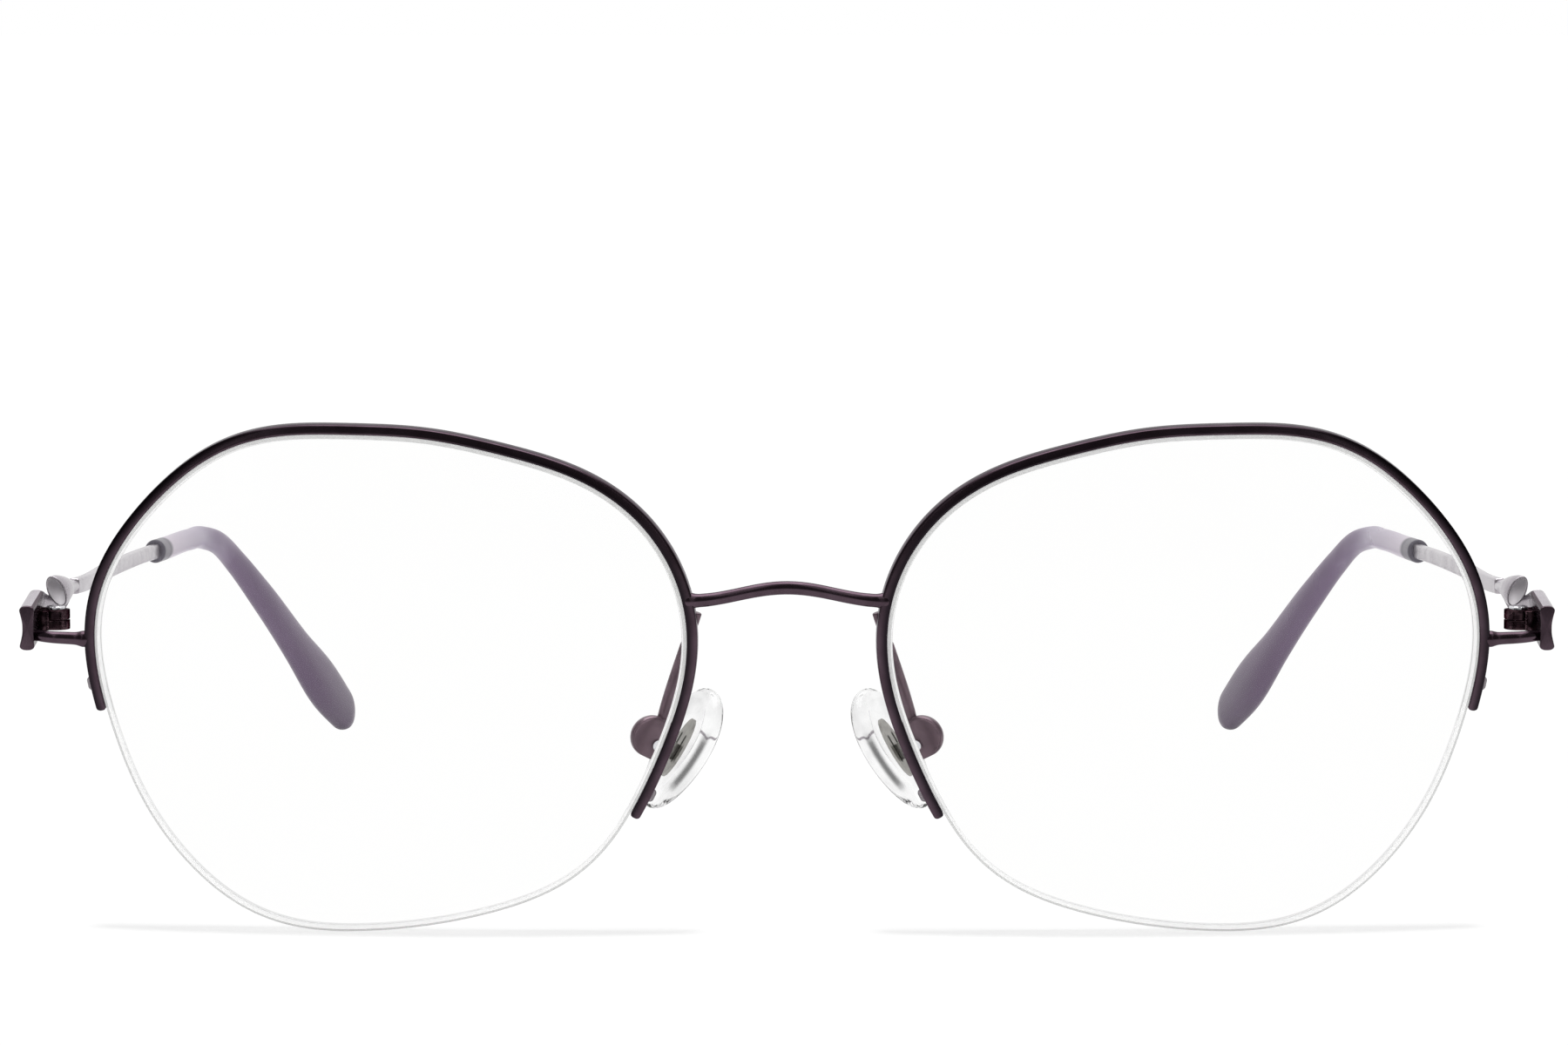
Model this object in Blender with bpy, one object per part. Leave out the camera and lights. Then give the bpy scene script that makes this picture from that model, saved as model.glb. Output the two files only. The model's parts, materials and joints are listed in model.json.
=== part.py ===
"""Semi-rimless eyeglasses, open and standing on the lens edges and the temple tips.

X runs across the face, Y from the front of the lenses to the temple tips, Z up.
Everything is worked out for the wearer's left side (+X) and mirrored for the right.
Lengths are in metres; the outline, wrap and tilt of the lens place all other pieces.
"""
import math

import bmesh
import bpy
import numpy as np
from mathutils import Matrix, Vector

MM = 0.001
SIDES = {"left": 1, "right": -1}

# Lens: plano demo lens, its outline given as radii from the middle, temple side first, then up
LENS_HALF_WIDTH = 27.2 * MM
LENS_RADIUS_SHARES = (
    1.001, 1.036, 1.020, 0.994, 0.955, 0.890, 0.857, 0.861, 0.897, 0.967, 1.017, 1.022,
    0.980, 0.932, 0.918, 0.911, 0.877, 0.851, 0.857, 0.899, 0.945, 0.956, 0.957, 0.966,
)
LENS_THICKNESS = 2.0 * MM
LENS_CURVE = 125.0 * MM
LENS_GAP = 18.6 * MM
LENS_STATIONS = 56
LENS_RING_SHARES = (0.4, 0.75)
FRONT_TILT = math.radians(6.0)
FRONT_WRAP = math.radians(3.0)
GROOVE_WIDTH = 0.60 * MM
GROOVE_DEPTH = 0.50 * MM
GROOVE_TAPER = 0.08 * MM

# Rim: a channel bar over the upper part of the lens, open below
RIM_WIDTH = 0.87 * MM
RIM_DEPTH = 1.50 * MM
RIM_CHANNEL = 0.42 * MM
RIM_OUTER_ROUND = 0.24 * MM
RIM_INNER_ROUND = 0.12 * MM
RIM_TEMPLE_END = math.radians(-6.2)
RIM_NOSE_END = math.radians(209.4)
LENS_FIT = 0.05 * MM

# Liner in the channel, and the cord that holds the lens up from below
LINER_WIDTH = 0.40 * MM
LINER_FIT = 0.06 * MM
LINER_BITE = 0.30 * MM
CORD_RADIUS = 0.18 * MM
CORD_FIT = 0.05 * MM
CORD_HOLE_RADIUS = 0.25 * MM
CORD_HOLE_SETBACK = 2.1 * MM
CORD_HOLE_SPACING = 0.92 * MM
CORD_BEND = 0.24 * MM
CORD_SIDES = 6

# Joints between soldered pieces, and running clearances
SOLDER_GAP = 0.03 * MM
LEAF_FIT = 0.10 * MM
RUN_FIT = 0.05 * MM
OVERRUN = 0.5 * MM
SHARP_EDGE = math.radians(35.0)

# Bridge: arched wire with a soldered foot on each rim
BRIDGE_RADIUS = 0.62 * MM
BRIDGE_RISE = 1.30 * MM
BRIDGE_BOW = 0.8 * MM
BRIDGE_ANGLE = math.radians(163.8)
BRIDGE_STATIONS = 20
BRIDGE_SIDES = 12
BRIDGE_FOOT_SHARES = ((0.0, 1.0), (0.86, 1.0), (0.95, 1.06), (1.0, 1.35))

# Endpiece: wire strut from the rim to an upright bone-shaped plate
STRUT_RADIUS = 0.60 * MM
STRUT_SLIM = 0.09 * MM
STRUT_REACH = 4.81 * MM
STRUT_CLIMB = 0.22 * MM
STRUT_BEND = 1.5 * MM
STRUT_STANDOFF = 0.75 * MM
STRUT_FILLET_SHARES = ((0.0, 1.45), (0.08, 1.12), (0.18, 1.0))
STRUT_ANGLE = math.radians(7.5)
STRUT_SIDES = 12
PLATE_THICKNESS = 1.36 * MM
PLATE_HOLLOW_OUTER = 0.27 * MM
PLATE_HOLLOW_INNER = 0.08 * MM
PLATE_LENGTH = 4.3 * MM
PLATE_LEAD = 0.1 * MM
PLATE_BELOW = 1.08 * MM
PLATE_ABOVE = 3.0 * MM
PLATE_CLIMB_TOP = 1.05 * MM
PLATE_CLIMB_FOOT = 0.45 * MM
PLATE_LEAN = 0.40 * MM
PLATE_EDGE_SHARES = ((1.0, 0.45), (0.95, 0.84), (0.84, 1.0), (0.60, 0.62), (0.28, 0.12), (0.0, 0.0))

# Hinge: one knuckle on the front under one on the temple, on a screw
KNUCKLE_RADIUS = 1.33 * MM
KNUCKLE_INSET = 1.45 * MM
KNUCKLE_CLEARANCE = 0.12 * MM
HINGE_HEIGHT = 1.84 * MM
HINGE_LIFT = 0.40 * MM
HINGE_SLIT = 0.10 * MM
JOINT_GAP = 0.10 * MM
LEAF_NEAR = 0.55 * MM
LEAF_FAR = 1.60 * MM
LEAF_SIDE = 0.45 * MM
HINGE_SHANK_RADIUS = 0.50 * MM
HINGE_HEAD_RADIUS = 0.88 * MM
HINGE_HEAD_HEIGHT = 0.26 * MM
SLOT_WIDTH = 0.24 * MM
SLOT_DEPTH = 0.14 * MM
ROUND_SIDES = 16

# Temple line: it starts a rise above the strut; rows give reach back, inset and height of the rod's middle
TEMPLE_REACH = 126.5 * MM
TEMPLE_INSET = 19.4 * MM
TEMPLE_RISE = 3.62 * MM
TEMPLE_LINE_SHARES = (
    (0.000, 0.094, 1.000), (0.019, 0.099, 1.000), (0.043, 0.120, 0.998), (0.075, 0.142, 0.989),
    (0.241, 0.164, 0.956), (0.432, 0.194, 0.913), (0.559, 0.236, 0.882), (0.654, 0.292, 0.866),
    (0.702, 0.331, 0.851), (0.729, 0.390, 0.823), (0.777, 0.480, 0.718), (0.824, 0.587, 0.577),
    (0.948, 0.865, 0.181), (1.000, 0.998, 0.016),
)
SHAFT_WIDTH = 1.10 * MM
SHAFT_HEIGHT = 1.50 * MM
CORE_WIDTH = 0.80 * MM
CORE_HEIGHT = 1.10 * MM
CORE_STATIONS = 13
LINE_STEP_SHARE = 0.004
TEMPLE_SIDES = 12

# Temple front: cupped horn that opens forward and outward, and the plate that carries it
HORN_WIDTH = 1.90 * MM
HORN_HEIGHT = 3.05 * MM
HORN_START = 2.4 * MM
HORN_LENGTH = 6.4 * MM
HORN_CUP_DEPTH = 1.5 * MM
HORN_LIP = 0.20 * MM
HORN_TILT = math.radians(26.0)
HORN_CUP_SHARES = ((1.0, 0.3), (0.75, 0.75), (0.0, 1.0))
HORN_SHARES = (
    (0.00, 1.00, 0.88, 1.0), (0.10, 0.99, 1.00, 0.95), (0.32, 0.84, 0.99, 0.7),
    (0.58, 0.58, 0.80, 0.35), (0.82, 0.42, 0.64, 0.1), (1.00, 0.37, 0.60, 0.0),
)
NECK_STEP = 0.20 * MM
WEB_LENGTH = 7.0 * MM
WEB_INSET = 2.42 * MM
WEB_FOOT_RISE = 3.1 * MM
WEB_TOP_DROP = 0.85 * MM
WEB_THINNING = 0.6 * MM
WEB_SHARES = (
    (0.00, 0.00, 0.00, 0.00), (0.14, 0.01, 0.02, 0.22), (0.28, 0.03, 0.06, 0.55), (0.42, 0.22, 0.18, 1.00),
    (0.56, 0.55, 0.42, 1.05), (0.78, 0.86, 0.78, 0.95), (1.00, 1.00, 1.10, 0.80),
)

# Temple tip: plastic sleeve that drops behind the ear and widens to a paddle
TIP_MOUTH_SHARE = 0.505
TIP_MOUTH_HEIGHT = 2.45 * MM
TIP_MOUTH_WIDTH = 2.25 * MM
TIP_PADDLE_HEIGHT = 7.2 * MM
TIP_PADDLE_WIDTH = 3.3 * MM
TIP_SWELL_SHARES = ((0.505, 0.0), (0.70, 0.0), (0.777, 0.10), (0.824, 0.27), (0.896, 0.51), (0.948, 0.83), (1.0, 0.48))
TIP_ROUND = 2.6 * MM
TIP_ROUND_SHARES = (0.02, 0.16, 0.40, 0.70)
TIP_RINGS = 17
TIP_BORE_FIT = 0.10 * MM
TIP_BORE_END_SHARE = 0.945
TIP_SETTLE_SHARE = 0.66

# Nose pad: soft pad on a metal insert whose lug rocks on a screw in the arm's box
PAD_SPREAD = 24.7 * MM
PAD_DROP = 5.65 * MM
PAD_SETBACK = 3.6 * MM
PAD_ANGLE = math.radians(30.0)
PAD_SPLAY = math.radians(25.0)
PAD_SEAT_ANGLE = math.radians(190.0)
PAD_RISE = 0.47 * MM
PAD_HALF_LENGTH = 6.2 * MM
PAD_HALF_WIDTH = 4.1 * MM
PAD_THICKNESS = 2.4 * MM
PAD_TAPER_SHARE = 0.18
PAD_DOME_SHARES = ((0.84, 0.50), (1.0, 0.22), (0.97, -0.16), (0.80, -0.40), (0.46, -0.50))
PAD_STATIONS = 20
INSERT_HALF_LENGTH = 3.15 * MM
INSERT_HALF_WIDTH = 1.2 * MM
INSERT_POCKET = 1.50 * MM
INSERT_PLATE = 0.55 * MM
INSERT_FIT = 0.08 * MM
LUG_REACH = 3.10 * MM
LUG_THICKNESS = 0.60 * MM
LUG_RADIUS = 0.80 * MM
BOX_RADIUS = 1.98 * MM
BOX_OFFSET = 0.78 * MM
BOX_RISE = 0.42 * MM
BOX_CHEEK = 0.40 * MM
BOX_ROUND_SHARES = ((-1.0, 0.94), (-0.6, 1.0), (0.3, 0.94), (1.0, 0.74))
BOX_FIT = 0.10 * MM
BOX_MOUTH = 0.65 * MM
BOX_SLOT_REACH = 1.05 * MM
BOX_SLOT_HALF_HEIGHT = 1.30 * MM
STRAP_WIDTH = 1.06 * MM
STRAP_THICKNESS = 0.80 * MM
STRAP_ANGLE = math.radians(166.5)
STRAP_INWARD = 0.5 * MM
STRAP_STANDOFF = 3.2 * MM
STRAP_LEAD = 3.0 * MM
STRAP_STATIONS = 12
STRAP_SIDES = 12
PAD_SHANK_RADIUS = 0.30 * MM
PAD_HEAD_RADIUS = 0.52 * MM
PAD_HEAD_HEIGHT = 0.28 * MM

UP = np.array((0.0, -math.sin(FRONT_TILT), math.cos(FRONT_TILT)))
BACK = np.array((
    -math.sin(FRONT_WRAP),
    math.cos(FRONT_WRAP) * math.cos(FRONT_TILT),
    math.cos(FRONT_WRAP) * math.sin(FRONT_TILT),
))
OUT = np.cross(BACK, UP)


def unit(vector):
    return vector / np.linalg.norm(vector)


def clear_scene():
    for item in list(bpy.data.objects):
        bpy.data.objects.remove(item, do_unlink=True)


def material(name, colour, roughness, metallic=0.0, transmission=0.0):
    """A Principled material; clear plastics let light through."""
    made = bpy.data.materials.new(name)
    made.use_nodes = True
    shader = made.node_tree.nodes["Principled BSDF"]
    shader.inputs["Base Color"].default_value = (*colour, 1.0)
    shader.inputs["Roughness"].default_value = roughness
    shader.inputs["Metallic"].default_value = metallic
    shader.inputs["Transmission Weight"].default_value = transmission
    made.diffuse_color = (*colour, 1.0)
    return made


def outline_point(theta):
    """Point of the lens outline in its own plane and the outward normal there.

    The radius is the sum of waves that passes through every radius share.
    """
    shares = np.array(LENS_RADIUS_SHARES)
    waves = np.fft.rfft(shares) / len(shares)
    order = np.arange(1, len(waves) - 1)
    turned = waves[order] * np.exp(1j * order * theta)
    radius = LENS_HALF_WIDTH * (waves[0].real + 2 * turned.real.sum())
    change = LENS_HALF_WIDTH * 2 * (1j * order * turned).real.sum()
    ray = np.array((math.cos(theta), math.sin(theta)))
    across = np.array((-math.sin(theta), math.cos(theta)))
    tangent = unit(change * ray + radius * across)
    return radius * ray, np.array((tangent[1], -tangent[0]))


def sag(flat):
    """How far the lens surface falls back at a point of its plane."""
    return LENS_CURVE - math.sqrt(LENS_CURVE ** 2 - float(flat @ flat))


def station_angles():
    return [2 * math.pi * i / LENS_STATIONS for i in range(LENS_STATIONS)]


def lens_centre():
    """Front middle of the lens: the gap sets its place across, the ground its height."""
    flats = [outline_point(theta)[0] for theta in station_angles()]
    nasal = min(p[0] * OUT[0] + p[1] * UP[0] + sag(p) * BACK[0] for p in flats)
    lowest = min(p[0] * OUT[2] + p[1] * UP[2] + sag(p) * BACK[2] for p in flats)
    return np.array((LENS_GAP / 2 - nasal, 0.0, -lowest))


CENTRE = lens_centre()


def edge_point(theta, offset, depth):
    """Point beside the lens edge: offset outward from it, depth back from its front."""
    flat, normal = outline_point(theta)
    moved = flat + offset * normal
    return CENTRE + moved[0] * OUT + moved[1] * UP + (sag(flat) + depth) * BACK


def edge_outward(theta):
    normal = outline_point(theta)[1]
    return normal[0] * OUT + normal[1] * UP


def edge_angle(theta, distance):
    """The angle reached by walking a distance along the outline from theta."""
    return theta + distance / np.linalg.norm(outline_point(theta)[0])


def angles_between(first, last):
    """The two ends and every lens station between them, so that facets line up."""
    step = 2 * math.pi / LENS_STATIONS
    inner = range(math.ceil(min(first, last) / step), math.floor(max(first, last) / step) + 1)
    stations = [i * step for i in inner]
    kept = [a for a in stations if abs(a - first) > step / 6 and abs(a - last) > step / 6]
    return [first] + (kept if last > first else kept[::-1]) + [last]


def smooth_rows(rows, share):
    """Read a table of shares at one share of its first column, as a smooth curve."""
    table = np.array(rows)
    keys, values = table[:, 0], table[:, 1:]
    slopes = np.gradient(values, keys, axis=0)
    i = int(np.clip(np.searchsorted(keys, share) - 1, 0, len(keys) - 2))
    span = keys[i + 1] - keys[i]
    t = (share - keys[i]) / span
    start, stop = values[i], values[i + 1]
    lead, tail = slopes[i] * span, slopes[i + 1] * span
    return (start * (1 + 2 * t) * (1 - t) ** 2 + lead * t * (1 - t) ** 2
            + stop * t ** 2 * (3 - 2 * t) + tail * t ** 2 * (t - 1))


def loft(rings, poles=None):
    """Closed mesh through rings of equal count; the ends are flat or run to pole points."""
    mesh = bmesh.new()
    loops = [[mesh.verts.new(point) for point in ring] for ring in rings]
    for first, second in zip(loops, loops[1:]):
        for i in range(len(first)):
            j = (i + 1) % len(first)
            mesh.faces.new((first[i], first[j], second[j], second[i]))
    for k, loop in enumerate((loops[0], loops[-1])):
        if poles is None:
            mesh.faces.new(loop)
            continue
        pole = mesh.verts.new(poles[k])
        for i in range(len(loop)):
            mesh.faces.new((loop[i], loop[(i + 1) % len(loop)], pole))
    return mesh


def ring_about(centre, across, above, half_across, half_above, sides):
    """Ellipse of points about a centre, in the plane of two directions."""
    turns = [2 * math.pi * (i + 0.5) / sides for i in range(sides)]
    return [centre + half_across * math.cos(a) * across + half_above * math.sin(a) * above for a in turns]


def tube(points, radii, sides, hint):
    """Round tube along points; the rings stay square to the path and turn with hint."""
    rings = []
    for i, point in enumerate(points):
        ahead = points[min(i + 1, len(points) - 1)] - points[max(i - 1, 0)]
        across = unit(np.cross(ahead, hint))
        above = unit(np.cross(across, ahead))
        rings.append(ring_about(point, across, above, radii[i], radii[i], sides))
    return loft(rings)


def cylinder(start, axis, length, radius, sides=ROUND_SIDES):
    helper = np.array((0.0, 0.0, 1.0)) if abs(axis[2]) < abs(axis[1]) else np.array((0.0, 1.0, 0.0))
    across = unit(np.cross(axis, helper))
    above = np.cross(axis, across)
    return loft([ring_about(start + axis * run, across, above, radius, radius, sides) for run in (0.0, length)])


def prism(outline, axis, length):
    """Solid between a closed outline of points and its copy moved along an axis."""
    return loft([[point + axis * run for point in outline] for run in (0.0, length)])


def block(low, high):
    """Box between two corners in the part's own axes."""
    (x0, y0, z0), (x1, y1, z1) = low, high
    floor = [np.array(p) for p in ((x0, y0, z0), (x1, y0, z0), (x1, y1, z0), (x0, y1, z0))]
    return prism(floor, np.array((0.0, 0.0, 1.0)), z1 - z0)


def empty(name, location, parent=None):
    made = bpy.data.objects.new(name, None)
    made.location = location
    made.parent = parent
    bpy.context.collection.objects.link(made)
    return made


def place(name, mesh, side, finish, parent, pivot=(0.0, 0.0, 0.0)):
    """Make an object of a mesh of the left side, mirrored where side is -1."""
    bmesh.ops.translate(mesh, verts=mesh.verts, vec=-Vector(pivot))
    bmesh.ops.scale(mesh, verts=mesh.verts, vec=(side, 1, 1))
    bmesh.ops.recalc_face_normals(mesh, faces=mesh.faces)
    data = bpy.data.meshes.new(name)
    mesh.to_mesh(data)
    mesh.free()
    data.shade_smooth()
    data.set_sharp_from_angle(angle=SHARP_EDGE)
    data.materials.append(finish)
    made = bpy.data.objects.new(name, data)
    made.parent = parent
    bpy.context.collection.objects.link(made)
    return made


def combine(target, meshes, operation, side, pivot=(0.0, 0.0, 0.0)):
    """Join meshes to an object or cut them from it, each by a hidden tool."""
    for i, mesh in enumerate(meshes):
        name = f"{target.name}_{operation.lower()}_{i}"
        tool = place(name, mesh, side, target.data.materials[0], target.parent, pivot)
        tool.hide_render = True
        tool.display_type = "WIRE"
        step = target.modifiers.new(name, "BOOLEAN")
        step.operation = operation
        step.solver = "EXACT"
        step.object = tool


def make_lens(label, side, finish, root):
    """Curved lens with a groove all round its edge."""
    middle = LENS_THICKNESS / 2
    lip = GROOVE_WIDTH / 2
    edge = ((0.0, 0.0), (0.0, middle - lip), (-GROOVE_DEPTH, middle - lip + GROOVE_TAPER),
            (-GROOVE_DEPTH, middle + lip - GROOVE_TAPER), (0.0, middle + lip), (0.0, LENS_THICKNESS))

    def face_ring(share, depth):
        ring = []
        for theta in station_angles():
            flat = outline_point(theta)[0] * share
            ring.append(CENTRE + flat[0] * OUT + flat[1] * UP + (sag(flat) + depth) * BACK)
        return ring

    rings = [face_ring(share, 0.0) for share in LENS_RING_SHARES]
    rings += [[edge_point(theta, offset, depth) for theta in station_angles()] for offset, depth in edge]
    rings += [face_ring(share, LENS_THICKNESS) for share in reversed(LENS_RING_SHARES)]
    poles = (CENTRE, CENTRE + LENS_THICKNESS * BACK)
    place(f"{label}_lens", loft(rings, poles), side, finish, root)


def rim_section():
    """Channel section of the rim as offset and depth, rounded on its outside corners."""
    middle = LENS_THICKNESS / 2
    lip = GROOVE_WIDTH / 2
    inner, outer = LENS_FIT, LENS_FIT + RIM_WIDTH
    front, rear = middle - RIM_DEPTH / 2, middle + RIM_DEPTH / 2
    return (
        (inner, middle - lip), (inner + RIM_CHANNEL, middle - lip),
        (inner + RIM_CHANNEL, middle + lip), (inner, middle + lip),
        (inner, rear - RIM_INNER_ROUND), (inner + RIM_INNER_ROUND, rear),
        (outer - RIM_OUTER_ROUND, rear), (outer, rear - RIM_OUTER_ROUND),
        (outer, front + RIM_OUTER_ROUND), (outer - RIM_OUTER_ROUND, front),
        (inner + RIM_INNER_ROUND, front), (inner, front + RIM_INNER_ROUND),
    )


def edge_sweep(angles, section):
    return loft([[edge_point(theta, offset, depth) for offset, depth in section] for theta in angles])


def cord_hole_angles():
    """Angles of the two cord holes at each end of the rim, the outer hole first."""
    far = CORD_HOLE_SETBACK + CORD_HOLE_SPACING
    return (
        (edge_angle(RIM_TEMPLE_END, CORD_HOLE_SETBACK), edge_angle(RIM_TEMPLE_END, far)),
        (edge_angle(RIM_NOSE_END, -CORD_HOLE_SETBACK), edge_angle(RIM_NOSE_END, -far)),
    )


def make_rim(label, side, finish, root):
    """Channel bar with two cord holes at each end."""
    mesh = edge_sweep(angles_between(RIM_TEMPLE_END, RIM_NOSE_END), rim_section())
    rim = place(f"{label}_rim", mesh, side, finish, root)
    start = LENS_FIT + RIM_CHANNEL / 2
    length = RIM_WIDTH + OVERRUN
    drills = [
        cylinder(edge_point(theta, start, LENS_THICKNESS / 2), edge_outward(theta), length, CORD_HOLE_RADIUS)
        for pair in cord_hole_angles() for theta in pair
    ]
    combine(rim, drills, "DIFFERENCE", side)


def make_liner(label, side, finish, root):
    """Flat nylon liner: its back lies in the rim's channel, its lip in the lens groove."""
    middle = LENS_THICKNESS / 2
    half = LINER_WIDTH / 2
    top = LENS_FIT + RIM_CHANNEL - LINER_FIT
    section = ((-LINER_BITE, middle - half), (top, middle - half), (top, middle + half), (-LINER_BITE, middle + half))
    (_, first), (_, last) = cord_hole_angles()
    clear = CORD_HOLE_SPACING
    angles = angles_between(edge_angle(first, clear), edge_angle(last, -clear))
    place(f"{label}_rim_liner", edge_sweep(angles, section), side, finish, root)


def rounded_path(corners, bend):
    """Points of a path whose inner corners, as distance and offset, are rounded by an arc."""
    path = [np.array(corners[0])]
    for before, corner, after in zip(corners, corners[1:], corners[2:]):
        here = np.array(corner)
        inward, onward = unit(np.array(before) - here), unit(np.array(after) - here)
        for turn in (0.0, 0.5, 1.0):
            lead, tail = (1 - turn) ** 2, turn ** 2
            path.append(here + bend * (lead * inward + tail * onward))
    path.append(np.array(corners[-1]))
    return path


def make_cord(label, side, finish, root):
    """Nylon cord round the lens below, threaded out and back through the rim at each end."""
    seat = -GROOVE_DEPTH + CORD_FIT + CORD_RADIUS
    outside = LENS_FIT + RIM_WIDTH + CORD_FIT + CORD_RADIUS
    tucked = LENS_FIT + RIM_CHANNEL / 2
    far = CORD_HOLE_SETBACK + CORD_HOLE_SPACING
    corners = ((0.0, seat), (CORD_HOLE_SETBACK, seat), (CORD_HOLE_SETBACK, outside), (far, outside), (far, tucked))
    threaded = rounded_path(corners, CORD_BEND)
    temple_side = [(edge_angle(RIM_TEMPLE_END, run), offset) for run, offset in threaded]
    nose_side = [(edge_angle(RIM_NOSE_END, -run), offset) for run, offset in threaded]
    below = angles_between(RIM_NOSE_END - 2 * math.pi, RIM_TEMPLE_END)[1:-1]
    route = nose_side[::-1] + [(theta, seat) for theta in below] + temple_side
    points = [edge_point(theta, offset, LENS_THICKNESS / 2) for theta, offset in route]
    mesh = tube(points, [CORD_RADIUS] * len(points), CORD_SIDES, BACK)
    place(f"{label}_nylon_cord", mesh, side, finish, root)


def align_rings(rings):
    """Reorder each ring's points so that they follow the ring before without a twist."""
    for k in range(1, len(rings)):
        before, ring = np.array(rings[k - 1]), np.array(rings[k])
        options = [np.roll(turned, shift, axis=0) for turned in (ring, ring[::-1]) for shift in range(len(ring))]
        rings[k] = list(min(options, key=lambda option: np.linalg.norm(option - before)))
    return rings


def make_bridge(finish, root):
    """Arched wire bowed forward between the rims, its feet flared flat against them."""
    foot = edge_point(BRIDGE_ANGLE, LENS_FIT + RIM_WIDTH + SOLDER_GAP, LENS_THICKNESS / 2)
    toward_rim = -edge_outward(BRIDGE_ANGLE)
    side_view = unit(np.cross(toward_rim, BACK))
    foot_radius = BRIDGE_RADIUS * BRIDGE_FOOT_SHARES[-1][1]
    seat = ring_about(foot, np.cross(side_view, toward_rim), side_view, foot_radius, foot_radius, BRIDGE_SIDES)
    rings = [[point * np.array((-1.0, 1.0, 1.0)) for point in seat]]
    for i in range(1, BRIDGE_STATIONS):
        share = 2 * i / BRIDGE_STATIONS - 1
        wave = (1 + math.cos(math.pi * share)) / 2
        point = foot * np.array((share, 1.0, 1.0)) + wave * np.array((0.0, -BRIDGE_BOW, BRIDGE_RISE))
        slope = -math.pi * math.sin(math.pi * share) / 2
        ahead = unit(np.array((foot[0], -BRIDGE_BOW * slope, BRIDGE_RISE * slope)))
        across = unit(np.cross(np.array((0.0, 0.0, 1.0)), ahead))
        radius = BRIDGE_RADIUS * float(smooth_rows(BRIDGE_FOOT_SHARES, abs(share))[0])
        rings.append(ring_about(point, across, np.cross(ahead, across), radius, radius, BRIDGE_SIDES))
    rings.append(seat)
    place("bridge", loft(align_rings(rings)), 1, finish, root)


def endpiece_places():
    """Where the strut leaves the rim, and the corners of the end plate and the hinge."""
    root = edge_point(STRUT_ANGLE, LENS_FIT + RIM_WIDTH + SOLDER_GAP, LENS_THICKNESS / 2)
    inner = root[0] + STRUT_REACH
    front = root[1] + PLATE_LEAD
    rear = front + PLATE_LENGTH
    return {
        "root": root,
        "inner": inner,
        "middle": inner + PLATE_THICKNESS / 2,
        "front": front,
        "rear": rear,
        "low": root[2] - PLATE_BELOW,
        "high": root[2] + PLATE_ABOVE,
        "pivot": np.array((inner - KNUCKLE_INSET, rear + JOINT_GAP / 2, root[2] + HINGE_LIFT)),
    }


END = endpiece_places()
TEMPLE_FACE = END["rear"] + JOINT_GAP
TEMPLE_HEIGHT = END["root"][2] + TEMPLE_RISE
HINGE_LOW = END["pivot"][2]
HINGE_HIGH = HINGE_LOW + HINGE_HEIGHT
HINGE_SPLIT = HINGE_LOW + HINGE_HEIGHT / 2


def bone_ring(x, y, low, high, slim, lean):
    """Upright section with hollow sides and round flared ends, leaning inward above its middle."""
    half = (high - low) / 2
    centre = (high + low) / 2
    flare = PLATE_THICKNESS / 2 - slim

    def side(out, hollow):
        points = []
        for k, (tall, wide) in enumerate(PLATE_EDGE_SHARES):
            reach = flare * wide if k < 2 else flare - hollow * (1 - wide)
            points.append((tall, out * reach))
        return points + [(-tall, reach) for tall, reach in points[-2::-1]]

    outline = side(1, PLATE_HOLLOW_OUTER) + side(-1, PLATE_HOLLOW_INNER)[::-1]
    return [np.array((x + reach - lean * max(tall, 0.0), y, centre + tall * half)) for tall, reach in outline]


def make_endpiece(label, side, finish, root):
    """Wire strut that bends back and out into the upright end plate."""
    start = END["root"]
    corner = np.array((END["inner"] - STRUT_STANDOFF, start[1], start[2] + STRUT_CLIMB))
    into = np.array((END["middle"], start[1] + STRUT_BEND + STRUT_RADIUS, corner[2]))
    turn_start = corner + STRUT_BEND * unit(start - corner)
    path = [start + run * (turn_start - start) for run, _ in STRUT_FILLET_SHARES] + [(start + turn_start) / 2]
    for share in (0.0, 0.25, 0.5, 0.75, 1.0):
        path.append((1 - share) ** 2 * turn_start + 2 * share * (1 - share) * corner + share ** 2 * into)
    radii = [STRUT_RADIUS - STRUT_SLIM * i / (len(path) - 1) for i in range(len(path))]
    for i, (_, flare) in enumerate(STRUT_FILLET_SHARES):
        radii[i] = STRUT_RADIUS * flare
    strut = tube(path, radii, STRUT_SIDES, np.array((0.0, 0.0, 1.0)))
    rings = []
    for share in (0.0, 1 / 3, 2 / 3, 1.0):
        low = END["low"] + PLATE_CLIMB_FOOT * share
        high = END["high"] + PLATE_CLIMB_TOP * share
        rings.append(bone_ring(END["middle"], END["front"] + share * PLATE_LENGTH, low, high, 0.0, PLATE_LEAN * share))
    plate = place(f"{label}_endpiece", loft(rings), side, finish, root)
    combine(plate, [strut], "UNION", side)


def knuckle_outline(level, away, reach):
    """Knuckle with the tongue to its leaf; away is -1 towards the front, 1 towards the temple."""
    x, y, _ = END["pivot"]
    slip = math.asin(JOINT_GAP / 2 / KNUCKLE_RADIUS)
    turns = np.linspace(-slip, 3 * math.pi / 2, ROUND_SIDES)
    arc = [(x + KNUCKLE_RADIUS * math.cos(a), y - away * KNUCKLE_RADIUS * math.sin(a)) for a in turns]
    tongue = [(x + reach, y + away * KNUCKLE_RADIUS), (x + reach, y + away * JOINT_GAP / 2)]
    return [np.array((across, along, level)) for across, along in arc + tongue]


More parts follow.
